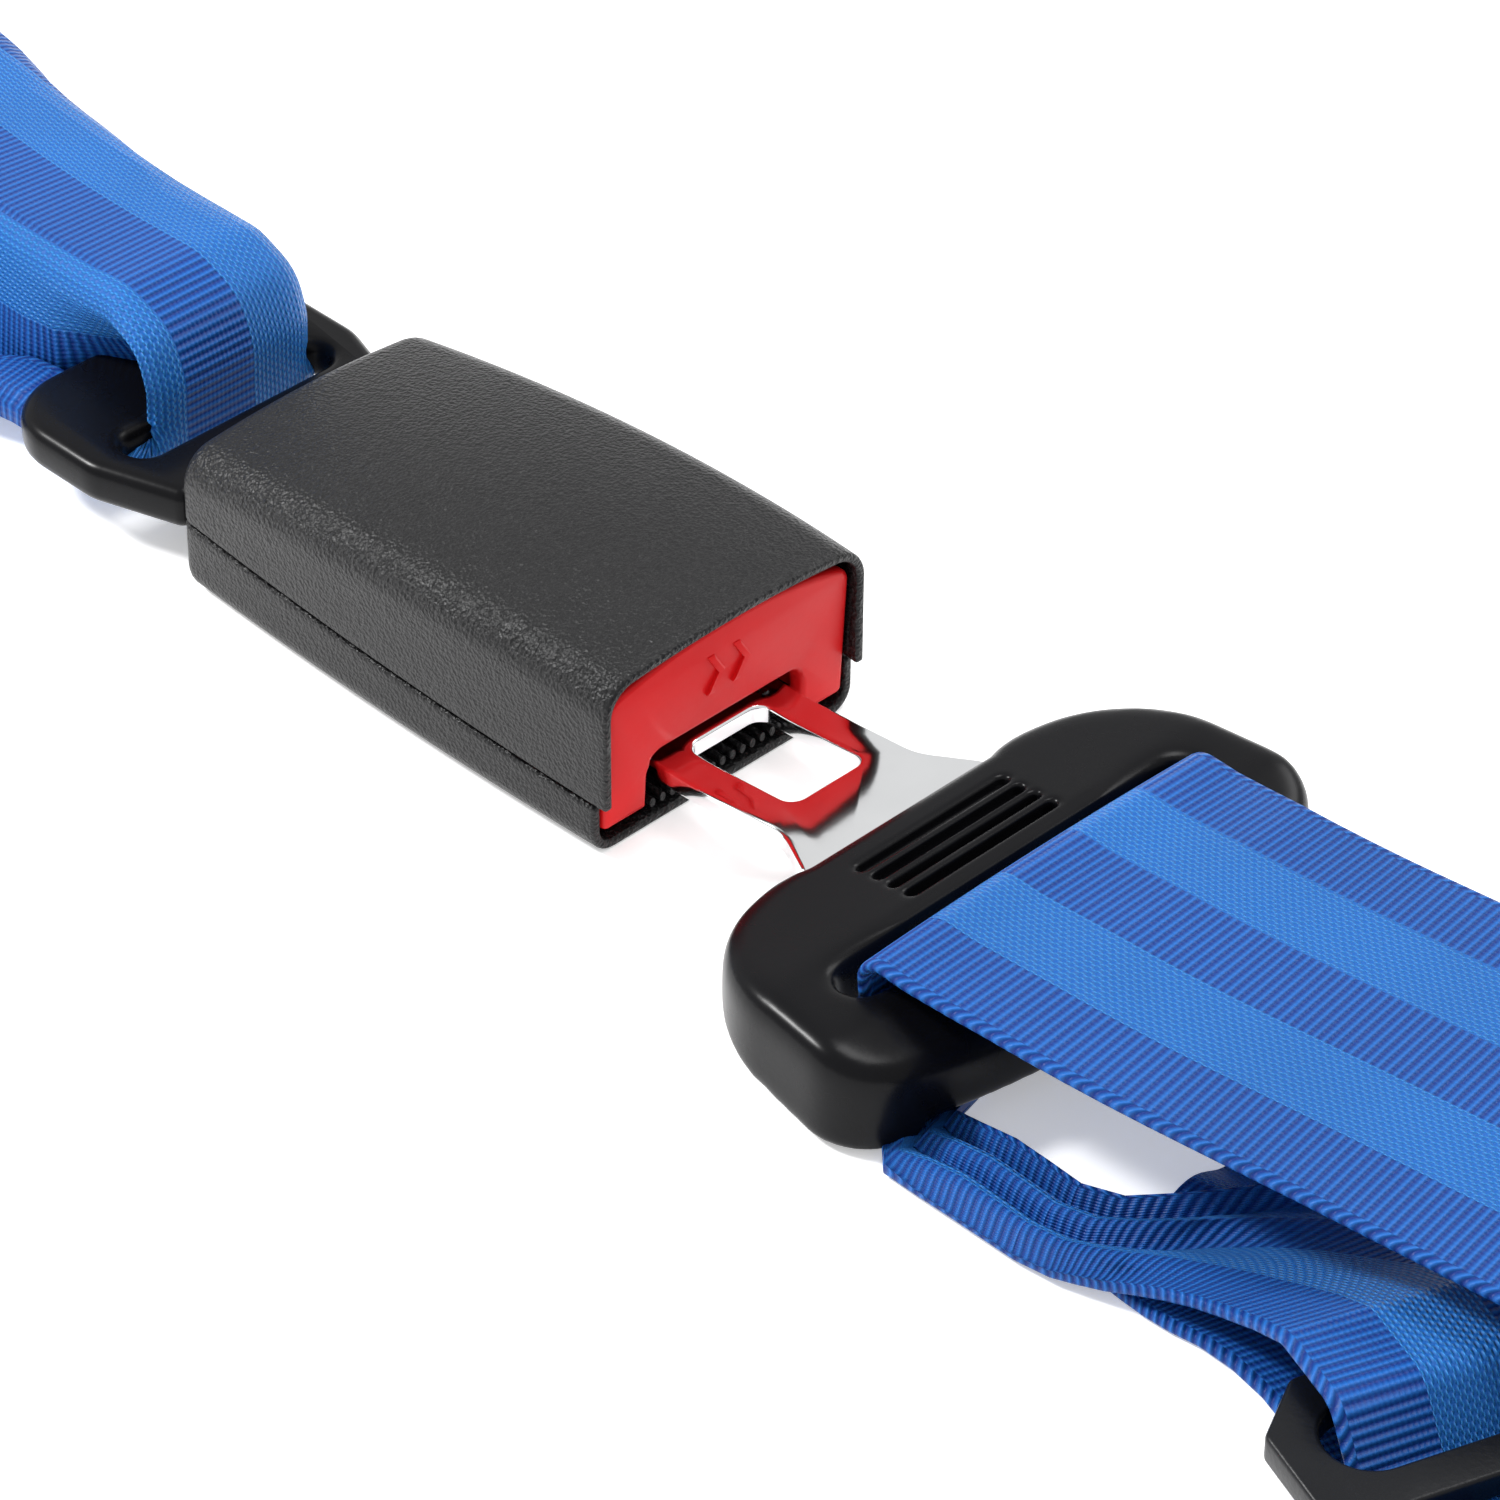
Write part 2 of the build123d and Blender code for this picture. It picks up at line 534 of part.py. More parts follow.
def anchor(x0):
    """A bolt-in end anchor: a flat steel plate with a webbing slot and a bolt hole."""
    z1 = ANCHOR_Z + ANCHOR_T
    wide = ANCHOR_W / 2
    slot_end = ANCHOR_BAR + ANCHOR_SLOT
    outline = plan_prism([(x0, -wide), (x0 + slot_end + 4, -wide), (x0 + ANCHOR_L, -13), (x0 + ANCHOR_L, 13),
                          (x0 + slot_end + 4, wide), (x0, wide)], ANCHOR_Z, z1)
    corners = edges_along(outline, Axis.Z).sort_by(Axis.X)
    outline = fillet(corners[:2], 4.0)
    corners = edges_along(outline, Axis.Z).sort_by(Axis.X)
    outline = fillet(corners[-2:], 9.0)
    outline -= slot_prism(x0 + ANCHOR_BAR, x0 + slot_end, WEB_W + 4.0, 0, 20)
    return outline - rod(x0 + anchor_hole, 0, 0, 20, ANCHOR_HOLE_R)


anchor_hole = ANCHOR_L - 15.0


def adjuster(centre_x):
    """A three-bar slide adjuster lying flat."""
    z1 = ADJ_Z + ADJ_T
    body = block(centre_x - ADJ_L / 2, centre_x + ADJ_L / 2, ADJ_W, ADJ_Z, z1)
    body = chamfer(edges_along(body, Axis.Z), ADJ_CORNER)
    gap = (ADJ_L - 3 * ADJ_BAR) / 2
    for x in (centre_x - ADJ_L / 2 + ADJ_BAR, centre_x + ADJ_BAR / 2):
        body -= slot_prism(x, x + gap, ADJ_SLOT_L, 0, 20)
    rims = body.faces().sort_by(Axis.Z)
    return chamfer(rims[-1].edges() + rims[0].edges(), 0.5)


def adjuster_weave(centre_x, hump):
    """Points of webbing over the first bar, under the middle one and over the last."""
    over = ADJ_Z + ADJ_T + WEB_GAP + WEB_T / 2
    under = ADJ_Z - WEB_GAP - WEB_T / 2
    half, inner_bar = ADJ_L / 2, ADJ_BAR / 2
    return [(centre_x - half - 2, over + hump), (centre_x - half + ADJ_BAR + 2.2, over + hump),
            (centre_x - inner_bar - 2.2, under), (centre_x + inner_bar + 2.2, under),
            (centre_x + half - ADJ_BAR - 2.2, over), (centre_x + half + 2, over)]


def anchor_strap(x0, x_anchor, adjuster_x=None):
    """The webbing from a stack's far end, through any adjuster, round the anchor's bar and back."""
    low, mid = WEB_T / 2, TIE_T + 3.4
    x_turn = x_anchor + ANCHOR_BAR + WEB_GAP + WEB_T / 2
    top = ANCHOR_Z + ANCHOR_T + WEB_GAP + WEB_T / 2
    over = low + WEB_T + WEB_GAP
    points = [(x0 - 2, mid), (x0 + 5, mid)]
    if adjuster_x is not None:
        points += adjuster_weave(adjuster_x, 0.0)
    start = points[-1][0]
    points += [(start + 12, low), (x_turn, low), (x_turn, top), (x_anchor - 1, top), (x_anchor - 14, over),
               (x_anchor + 2 - LOOP_BACK, over)]
    return ribbon(points, 1.3) & block(x0, 3 * HUGE, WEB_W, -HUGE, HUGE)


def stitched_patch(x_anchor):
    """The sewn patch that closes the webbing's loop round an anchor."""
    x1 = x_anchor - 15.0
    z0 = 2 * WEB_T + WEB_GAP
    return block(x1 - STITCH_L, x1, STITCH_W, z0, z0 + STITCH_T)


def taper(x0, x1, from_width, to_width):
    """A plan that lets bunched webbing spread to its full width."""
    a, b = from_width / 2, to_width / 2
    half = [(-HUGE, a), (x0, a), (x1, b), (HUGE, b)]
    return plan_prism([(x, -y) for x, y in half] + half[::-1], -HUGE, HUGE)


class StrapSide:
    """Where one side's straps start and how they spread: sx is +1 for the tongue's side."""

    def __init__(self, name, sx, shoulder_from, lap_from, adjuster_at, tail_from, shoulder_z):
        self.name = name
        self.turn = Rot(0, 0, 0 if sx > 0 else 180)
        self.shoulder_yaw = SHOULDER_YAW * sx
        self.lap_yaw = -LAP_YAW * sx
        self.shoulder_from = shoulder_from
        self.lap_from = lap_from
        self.adjuster_at = adjuster_at
        self.tail_from = tail_from
        self.shoulder_z = shoulder_z

    def shoulder(self, shape):
        """Place a piece drawn along the shoulder strap."""
        return self.turn * Pos(self.shoulder_from, 0, 0) * Rot(0, 0, self.shoulder_yaw) * shape

    def lap(self, shape):
        """Place a piece drawn along the lap strap."""
        return self.turn * Pos(self.lap_from, 0, 0) * Rot(0, 0, self.lap_yaw) * shape


low_z = WEB_T * 1.5 + WEB_GAP
bar_over = HANDLE_H + WEB_GAP + WEB_T / 2
bar_slot_x = SLOT_X0 + SLOT_W - WEB_GAP - WEB_T / 2
rear_slot_x = -REAR_SLOT_X - WEB_GAP - WEB_T / 2
rear_under = PLATE_COVER_Z0 - WEB_GAP - WEB_T / 2
tongue_side = StrapSide("right", 1, HANDLE_X1 + 6.5, HANDLE_X1 + 32.5, 43.0, 0.0, HANDLE_H + 4.0)
buckle_side = StrapSide("left", -1, 12.0 - PLATE_END_X, 26.0 - PLATE_END_X, 62.0, 30.0, 21.0)
near = WEB_W / 2
gather_x0, gather_x1 = HANDLE_X1 - 5, tongue_side.lap_from - 4
gathered_low = [(0, -near), (gather_x0, -near), (gather_x0 + 10, -near - GATHER_SHIFT),
                (gather_x1 - 10, -near - GATHER_SHIFT), (gather_x1, -near), (HUGE, -near)]
gathered_high = [(0, near), (gather_x0, near), (gather_x0 + 10, GATHER_W - near - GATHER_SHIFT),
                 (gather_x1 - 10, GATHER_W - near - GATHER_SHIFT), (gather_x1, near), (HUGE, near)]
gathered_plan = plan_prism(gathered_low + gathered_high[::-1], -HUGE, HUGE)
loops = {
    "right": ("tongue_loop_webbing", WEB_W, [
        (tongue_side.shoulder_from + 60, tongue_side.shoulder_z),
        (tongue_side.shoulder_from - 4, tongue_side.shoulder_z), (bar_slot_x + 6, bar_over),
        (bar_slot_x, bar_over), (bar_slot_x, WEB_T / 2), (tongue_side.lap_from - 18, WEB_T / 2),
        (tongue_side.lap_from - 8, low_z), (tongue_side.lap_from + 60, low_z)],
        [14.0, 3.0, 1.2, 1.4, 8.0, 8.0]),
    "left": ("buckle_loop_webbing", BUNCHED_W, [
        (buckle_side.shoulder_from + 60, buckle_side.shoulder_z), (rear_slot_x + 9, buckle_side.shoulder_z),
        (rear_slot_x, 15.0),
        (rear_slot_x, rear_under), (1 - PLATE_END_X, rear_under - 0.2), (14 - PLATE_END_X, low_z),
        (buckle_side.lap_from + 60, low_z)], [7.0, 6.0, 1.2, 8.0, 8.0]),
}
for side in (tongue_side, buckle_side):
    loop_name, width, route, radii = loops[side.name]
    loop = ribbon(route, radii)
    level = (route[3][1] + HANDLE_H) / 2
    upper_end = half_space(side.shoulder_from, side.shoulder_yaw / 2, -1)
    upper_leg = loop & block(-HUGE, HUGE, width, level, HUGE) & upper_end
    lower_end = half_space(side.lap_from, side.lap_yaw / 2, -1)
    lower_leg = loop & block(-HUGE, HUGE, HUGE, -HUGE, level) & lower_end
    if side is tongue_side:
        lower_leg = lower_leg & gathered_plan
    else:
        lower_leg = strip(lower_leg, width)
    save(f"{loop_name}_{side.name}", side.turn * (upper_leg + lower_leg))

    shoulder_end = TIE_T + SHOULDER_STACK_H - 2.6
    flat, bend_r = 30, 30.0
    leg = ribbon([(-60, side.shoulder_z), (flat, side.shoulder_z), (SHOULDER_RUN + 5, shoulder_end)], bend_r)
    leg = leg & half_space(0, -side.shoulder_yaw / 2, 1) & taper(4, 56, width, WEB_W)
    save(f"shoulder_webbing_{side.name}", side.shoulder(leg & block(-HUGE, SHOULDER_RUN, HUGE, -HUGE, HUGE)))
    save(f"shoulder_stack_{side.name}", side.shoulder(stack(SHOULDER_RUN, SHOULDER_STACK_H)))

    lap_end = TIE_T + LAP_STACK_H / 2
    points = [(-60, low_z), (side.adjuster_at - ADJ_L / 2 - 12, low_z)]
    points += adjuster_weave(side.adjuster_at, LAP_HUMP)
    points += [(side.adjuster_at + ADJ_L / 2 + 12, lap_end), (LAP_RUN + 5, lap_end)]
    leg = ribbon(points, 2.0) & half_space(0, -side.lap_yaw / 2, 1) & taper(4, 26, width, WEB_W)
    save(f"lap_webbing_{side.name}", side.lap(leg & block(-HUGE, LAP_RUN, HUGE, -HUGE, HUGE)))
    tail = block(side.tail_from + 2.0, side.adjuster_at + ADJ_L / 2 + 14, WEB_W, 0.0, WEB_T)
    save(f"lap_tail_{side.name}", side.lap(tail))
    save(f"lap_stack_{side.name}", side.lap(stack(LAP_RUN, LAP_STACK_H)))
    save(f"lap_adjuster_{side.name}", side.lap(adjuster(side.adjuster_at)))

    rings = [side.shoulder(ring) for ring in ties(SHOULDER_RUN, SHOULDER_STACK_H)]
    rings += [side.lap(ring) for ring in ties(LAP_RUN, LAP_STACK_H)]
    save(f"stack_ties_{side.name}", *rings)

    shoulder_x1 = SHOULDER_RUN + STACK_L
    lap_x1 = LAP_RUN + STACK_L
    adjuster_x = shoulder_x1 + ADJ_L / 2 + 10
    shoulder_anchor = adjuster_x + ADJ_L / 2 + 64
    lap_anchor = lap_x1 + 66
    shoulder_strap = anchor_strap(shoulder_x1, shoulder_anchor, adjuster_x)
    save(f"shoulder_anchor_webbing_{side.name}", side.shoulder(shoulder_strap))
    save(f"lap_anchor_webbing_{side.name}", side.lap(anchor_strap(lap_x1, lap_anchor)))
    save(f"shoulder_adjuster_{side.name}", side.shoulder(adjuster(adjuster_x)))
    save(f"shoulder_anchor_{side.name}", side.shoulder(anchor(shoulder_anchor)))
    save(f"lap_anchor_{side.name}", side.lap(anchor(lap_anchor)))
    patches = [side.shoulder(stitched_patch(shoulder_anchor)), side.lap(stitched_patch(lap_anchor))]
    save(f"anchor_stitching_{side.name}", *patches)
    for strap, placed, at in (("shoulder", side.shoulder, shoulder_anchor), ("lap", side.lap, lap_anchor)):
        hole = placed(Pos(at + anchor_hole, 0, ANCHOR_Z + ANCHOR_T / 2) * Box(1, 1, 1)).center()
        print(strap, side.name, "bolt hole centre", round(hole.X, 3), round(hole.Y, 3), round(hole.Z, 3))
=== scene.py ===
"""Looks of a four-point racing harness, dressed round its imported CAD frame.

Sizes and places in this file are in millimetres in the part's own frame: the origin is the centre of the
buckle's underside, +X runs from the buckle to the tongue and +Z is up. Meshes are written in metres.
"""

from __future__ import annotations

import logging
import math
from contextlib import contextmanager
from dataclasses import dataclass, field
from enum import Enum
from typing import Callable, Iterable, Iterator, Sequence

import bmesh
import bpy
import numpy as np
from mathutils import Matrix, Vector

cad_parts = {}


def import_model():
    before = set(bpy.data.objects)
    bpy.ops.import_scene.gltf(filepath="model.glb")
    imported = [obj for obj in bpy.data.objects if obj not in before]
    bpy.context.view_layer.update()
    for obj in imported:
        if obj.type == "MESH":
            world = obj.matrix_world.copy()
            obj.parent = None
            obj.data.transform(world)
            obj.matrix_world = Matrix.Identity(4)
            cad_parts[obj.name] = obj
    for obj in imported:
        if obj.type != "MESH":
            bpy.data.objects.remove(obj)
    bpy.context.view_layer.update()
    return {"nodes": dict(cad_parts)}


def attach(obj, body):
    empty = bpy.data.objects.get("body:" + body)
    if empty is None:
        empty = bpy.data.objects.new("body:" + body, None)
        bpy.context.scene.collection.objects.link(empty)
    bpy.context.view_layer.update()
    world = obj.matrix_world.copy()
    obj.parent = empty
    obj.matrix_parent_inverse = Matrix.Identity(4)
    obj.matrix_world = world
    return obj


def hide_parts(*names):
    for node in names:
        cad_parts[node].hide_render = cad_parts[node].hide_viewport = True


LOG = logging.getLogger("harness")
MM = 0.001
HANDLE_VOXEL = 0.42
HANDLE_PASSES = 90
STRAIGHT_DEG = 89.0  # half angle past which a corner counts as straight
Point2 = tuple[float, float]
Colour = tuple[float, float, float, float]
Piece, Mesh, Material = bpy.types.Object, bpy.types.Mesh, bpy.types.Material
Tree, Node, Socket = bpy.types.NodeTree, bpy.types.Node, bpy.types.NodeSocket
EditMesh = bmesh.types.BMesh


class Body(str, Enum):
    """The moving bodies of the frame."""

    BUCKLE = "buckle"
    BUTTON = "button"
    TONGUE = "tongue"


class Slot(str, Enum):
    """The record's material slots, by name."""

    COVER = "cover_plastic"
    HANDLE = "handle_plastic"
    BUTTON = "button_plastic"
    TONGUE = "tongue_chrome"
    WEBBING = "webbing"
    TIE = "tie_band"
    THREAD = "thread"
    ADJUSTER = "adjuster_steel"
    ANCHOR = "anchor_steel"


# ---------------------------------------------------------------- node graphs
class Graph:
    """Short calls that add and join nodes in one tree."""

    def __init__(self, tree: Tree) -> None:
        """Keep the tree that the calls build in."""
        self.tree = tree

    def add(self, kind: str, inputs: dict | None = None, **props: object) -> Node:
        """Add a node.

        Args:
            kind: The node's type name.
            inputs: Values or output sockets by input name or number.
            **props: Plain properties of the node.

        Returns:
            The new node.
        """
        node = self.tree.nodes.new(kind)
        for name, value in props.items():
            setattr(node, name, value)
        for key, value in (inputs or {}).items():
            self.put(node.inputs[key], value)
        return node

    def put(self, socket: Socket, value: object) -> None:
        """Link an output to a socket, or set the socket's own value."""
        if isinstance(value, Socket):
            self.tree.links.new(value, socket)
        else:
            socket.default_value = value

    def math(self, operation: str, *values: object, clamp: bool = False) -> Socket:
        """Add a Math node and return its output."""
        node = self.add("ShaderNodeMath", dict(enumerate(values)), operation=operation, use_clamp=clamp)
        return node.outputs[0]

    def blend(self, factor: object, first: object, second: object) -> Socket:
        """Mix two colours and return the result."""
        node = self.add("ShaderNodeMix", None, data_type="RGBA", clamp_factor=True)
        self.put(node.inputs[0], factor)
        self.put(node.inputs[6], first)
        self.put(node.inputs[7], second)
        return node.outputs[2]

    def realized(self, many: Socket, finish: Socket) -> None:
        """End a Geometry Nodes tree: instances made real, with their material set."""
        real = self.add("GeometryNodeRealizeInstances", {"Geometry": many}).outputs[0]
        done = self.add("GeometryNodeSetMaterial", {"Geometry": real, "Material": finish}).outputs[0]
        self.put(self.add("NodeGroupOutput").inputs[0], done)


def socket_group(name: str, kind: str, ins: Sequence[tuple], outs: Sequence[tuple]) -> Tree:
    """Make an empty node group with named sockets.

    Args:
        name: The group's name.
        kind: ShaderNodeTree or GeometryNodeTree.
        ins: Input sockets as (name, socket type, default or None).
        outs: Output sockets as (name, socket type).

    Returns:
        The group.
    """
    tree = bpy.data.node_groups.new(name, kind)
    for title, socket_type, default in ins:
        socket = tree.interface.new_socket(title, in_out="INPUT", socket_type=socket_type)
        if default is not None:
            socket.default_value = default
    for title, socket_type in outs:
        tree.interface.new_socket(title, in_out="OUTPUT", socket_type=socket_type)
    return tree


def surface_grain() -> Tree:
    """The fine moulded or rolled grain that the hard pieces share.

    Returns:
        A shader group with Colour, Roughness and Normal outputs.
    """
    tree = socket_group(
        "surface grain", "ShaderNodeTree",
        [("Colour", "NodeSocketColor", (0.5, 0.5, 0.5, 1)), ("Roughness", "NodeSocketFloat", 0.4),
         ("Grain per metre", "NodeSocketFloat", 2500.0), ("Grain depth", "NodeSocketFloat", 0.2),
         ("Mottle", "NodeSocketFloat", 0.1)],
        [("Colour", "NodeSocketColor"), ("Roughness", "NodeSocketFloat"), ("Normal", "NodeSocketVector")])
    g = Graph(tree)
    ins = g.add("NodeGroupInput").outputs
    place = g.add("ShaderNodeTexCoord").outputs["Object"]
    grain = g.add("ShaderNodeTexNoise", {"Vector": place, "Scale": ins["Grain per metre"], "Detail": 2.0,
                                         "Roughness": 0.6}).outputs[0]
    pits = g.add("ShaderNodeTexVoronoi", {"Vector": place, "Scale": ins["Grain per metre"]}).outputs[0]
    broad = g.add("ShaderNodeTexNoise", {"Vector": place, "Scale": 140.0, "Detail": 3.0}).outputs[0]
    height = g.math("ADD", g.math("MULTIPLY", grain, 0.6), g.math("MULTIPLY", pits, 0.4))
    swing = g.math("MULTIPLY", g.math("SUBTRACT", broad, 0.5), ins["Mottle"])
    shade = g.math("ADD", 1.0, swing)
    tint = g.add("ShaderNodeVectorMath", {0: ins["Colour"], 3: shade}, operation="SCALE").outputs[0]
    rough = g.math("ADD", ins["Roughness"], g.math("MULTIPLY", swing, 0.35), clamp=True)
    bump = g.add("ShaderNodeBump", {"Strength": ins["Grain depth"], "Distance": 0.0002, "Height": height})
    out = g.add("NodeGroupOutput")
    g.put(out.inputs["Colour"], tint)
    g.put(out.inputs["Roughness"], rough)
    g.put(out.inputs["Normal"], bump.outputs[0])
    return tree


def webbing_weave() -> Tree:
    """Five lengthwise panels of ribbed and satin weave between two corded edges.

    Returns:
        A shader group that reads a UV in webbing widths and gives Height and Shade from 0 to 1.
    """
    tree = socket_group(
        "webbing weave", "ShaderNodeTree",
        [("UV", "NodeSocketVector", None), ("Width", "NodeSocketFloat", 50.0),
         ("Rib pitch", "NodeSocketFloat", 1.05), ("Thread pitch", "NodeSocketFloat", 0.62)],
        [("Height", "NodeSocketFloat"), ("Shade", "NodeSocketFloat"), ("Satin", "NodeSocketFloat")])
    g = Graph(tree)
    ins = g.add("NodeGroupInput").outputs
    scaled = g.add("ShaderNodeVectorMath", {0: ins["UV"], 3: ins["Width"]}, operation="SCALE").outputs[0]
    parts = g.add("ShaderNodeSeparateXYZ", {0: scaled}).outputs
    across, along = parts[0], parts[1]
    from_middle = g.math("ABSOLUTE", g.math("SUBTRACT", across, 25.0))
    outer = g.math("GREATER_THAN", from_middle, 5.0)
    satin = g.math("MULTIPLY", outer, g.math("LESS_THAN", from_middle, 15.2))
    rows = g.math("DIVIDE", along, ins["Rib pitch"])
    columns = g.math("DIVIDE", across, ins["Thread pitch"])

    def wave(value: Socket) -> Socket:
        """A smooth ripple from 0 to 1 that repeats once a unit."""
        turn = g.math("MULTIPLY", value, 2 * math.pi)
        return g.math("ADD", 0.5, g.math("MULTIPLY", g.math("COSINE", turn), 0.5))

    stagger = g.math("MULTIPLY", g.math("MODULO", g.math("FLOOR", columns), 2.0), 0.5)
    rib = wave(rows)
    threads = wave(columns)
    brick = g.math("MULTIPLY", wave(g.math("ADD", rows, stagger)), threads)
    ribbed = g.math("ADD", g.math("MULTIPLY", rib, 0.82), g.math("MULTIPLY", threads, 0.18))
    woven = g.math("ADD", g.math("MULTIPLY", satin, brick),
                   g.math("MULTIPLY", g.math("SUBTRACT", 1.0, satin), ribbed))
    corded = wave(g.math("ADD", g.math("DIVIDE", along, 1.5), g.math("DIVIDE", across, 1.6)))
    edge = g.math("GREATER_THAN", from_middle, 23.9)
    height = g.math("ADD", g.math("MULTIPLY", edge, corded),
                    g.math("MULTIPLY", g.math("SUBTRACT", 1.0, edge), woven))
    out = g.add("NodeGroupOutput")
    g.put(out.inputs["Height"], height)
    # Shade repeats the height: it drives painted shade in the weave's hollows and painted light on its
    # crests.
    g.put(out.inputs["Shade"], height)
    g.put(out.inputs["Satin"], satin)
    return tree


# ---------------------------------------------------------------- finishes
def blank_material(name: str) -> tuple[Material, Graph, Node]:
    """Make a material whose only shader is a Principled BSDF.

    Args:
        name: The material's name.

    Returns:
        The material, a graph on its tree, and the shader.
    """
    material = bpy.data.materials.new(name)
    material.use_nodes = True
    graph = Graph(material.node_tree)
    shader = material.node_tree.nodes["Principled BSDF"]
    return material, graph, shader


@dataclass(frozen=True)
class HardFinish:
    """Moulded plastic, plated or painted metal."""

    name: str
    colour: Colour
    roughness: float
    grain_per_m: float = 2500.0
    grain_depth: float = 0.15
    mottle: float = 0.2
    metallic: float = 0.0
    specular: float = 0.5
    coat: float = 0.0

    def make(self, grain: Tree) -> Material:
        """Build the material.

        Args:
            grain: The shared surface grain group.

        Returns:
            The material.
        """
        material, g, shader = blank_material(self.name)
        node = g.add("ShaderNodeGroup", None, node_tree=grain)
        for key, value in (("Colour", self.colour), ("Roughness", self.roughness),
                           ("Grain per metre", self.grain_per_m), ("Grain depth", self.grain_depth),
                           ("Mottle", self.mottle)):
            node.inputs[key].default_value = value
        g.put(shader.inputs["Base Color"], node.outputs["Colour"])
        g.put(shader.inputs["Roughness"], node.outputs["Roughness"])
        g.put(shader.inputs["Normal"], node.outputs["Normal"])
        shader.inputs["Metallic"].default_value = self.metallic
        shader.inputs["Specular IOR Level"].default_value = self.specular
        shader.inputs["Coat Weight"].default_value = self.coat
        shader.inputs["Coat Roughness"].default_value = 0.12
        return material


@dataclass(frozen=True)
class WebbingFinish:
    """Woven polyester seat-belt webbing."""

    name: str = "webbing weave"
    # The first colour of each pair is painted shade for the weave's hollows and the second the lit colour of
    # its crests; the satin pair is lighter than the ribbed pair as painted sheen on the satin panels.
    hollow_shade: Colour = (0.002, 0.022, 0.17, 1)
    ribbed: Colour = (0.012, 0.115, 0.42, 1)
    satin_hollow_shade: Colour = (0.006, 0.085, 0.34, 1)
    satin: Colour = (0.040, 0.27, 0.68, 1)
    bump_mm: float = 0.34

    def make(self, weave: Tree) -> Material:
        """Build the material.

        Args:
            weave: The webbing weave group.

        Returns:
            The material.
        """
        material, g, shader = blank_material(self.name)
        uv = g.add("ShaderNodeUVMap", None, uv_map="webbing").outputs[0]
        cloth = g.add("ShaderNodeGroup", None, node_tree=weave)
        g.put(cloth.inputs["UV"], uv)
        place = g.add("ShaderNodeTexCoord").outputs["Object"]
        fibre = g.add("ShaderNodeTexNoise", {"Vector": place, "Scale": 5200.0, "Detail": 2.0}).outputs[0]
        broad = g.add("ShaderNodeTexNoise", {"Vector": place, "Scale": 45.0, "Detail": 2.0}).outputs[0]
        # Colour follows the weave's height: painted shade in the hollows, painted light on the crests; the
        # satin panels take the lighter pair as painted sheen.
        ribs = g.blend(cloth.outputs["Shade"], self.hollow_shade, self.ribbed)
        sheen = g.blend(cloth.outputs["Shade"], self.satin_hollow_shade, self.satin)
        tint = g.blend(cloth.outputs["Satin"], ribs, sheen)
        noise = g.math("ADD", g.math("MULTIPLY", fibre, 0.22), g.math("MULTIPLY", broad, 0.3))
        swing = g.math("ADD", 0.74, noise)
        colour = g.add("ShaderNodeVectorMath", {0: tint, 3: swing}, operation="SCALE").outputs[0]
        height = g.math("ADD", cloth.outputs["Height"], g.math("MULTIPLY", fibre, 0.2))
        bump = g.add("ShaderNodeBump", {"Strength": 0.9, "Distance": self.bump_mm * MM, "Height": height})
        g.put(shader.inputs["Base Color"], colour)
        g.put(shader.inputs["Normal"], bump.outputs[0])
        shader.inputs["Roughness"].default_value = 0.42
        shader.inputs["Specular IOR Level"].default_value = 0.2
        shader.inputs["Sheen Weight"].default_value = 0.05
        shader.inputs["Sheen Roughness"].default_value = 0.4
        shader.inputs["Sheen Tint"].default_value = (0.35, 0.65, 1.0, 1)
        return material


@dataclass(frozen=True)
class FuzzFinish:
    """Hook-and-loop band or sewing thread."""

    name: str
    # colour is painted shade for the hollows of the pile and second the lit colour of its tops.
    colour: Colour
    second: Colour
    scale_per_m: float = 1800.0
    bump_mm: float = 0.3

    def make(self) -> Material:
        """Build the material and return it."""
        material, g, shader = blank_material(self.name)
        place = g.add("ShaderNodeTexCoord").outputs["Object"]
        loops = g.add("ShaderNodeTexVoronoi", {"Vector": place, "Scale": self.scale_per_m}).outputs[0]
        strands = g.add("ShaderNodeTexNoise", {"Vector": place, "Scale": self.scale_per_m * 2.5}).outputs[0]
        height = g.math("ADD", loops, g.math("MULTIPLY", strands, 0.5))
        # The height picks the colour: painted shade in the hollows, lighter on the tops.
        g.put(shader.inputs["Base Color"], g.blend(height, self.colour, self.second))
        bump = g.add("ShaderNodeBump", {"Strength": 0.8, "Distance": self.bump_mm * MM, "Height": height})
        g.put(shader.inputs["Normal"], bump.outputs[0])
        shader.inputs["Roughness"].default_value = 0.85
        shader.inputs["Sheen Weight"].default_value = 0.3
        return material


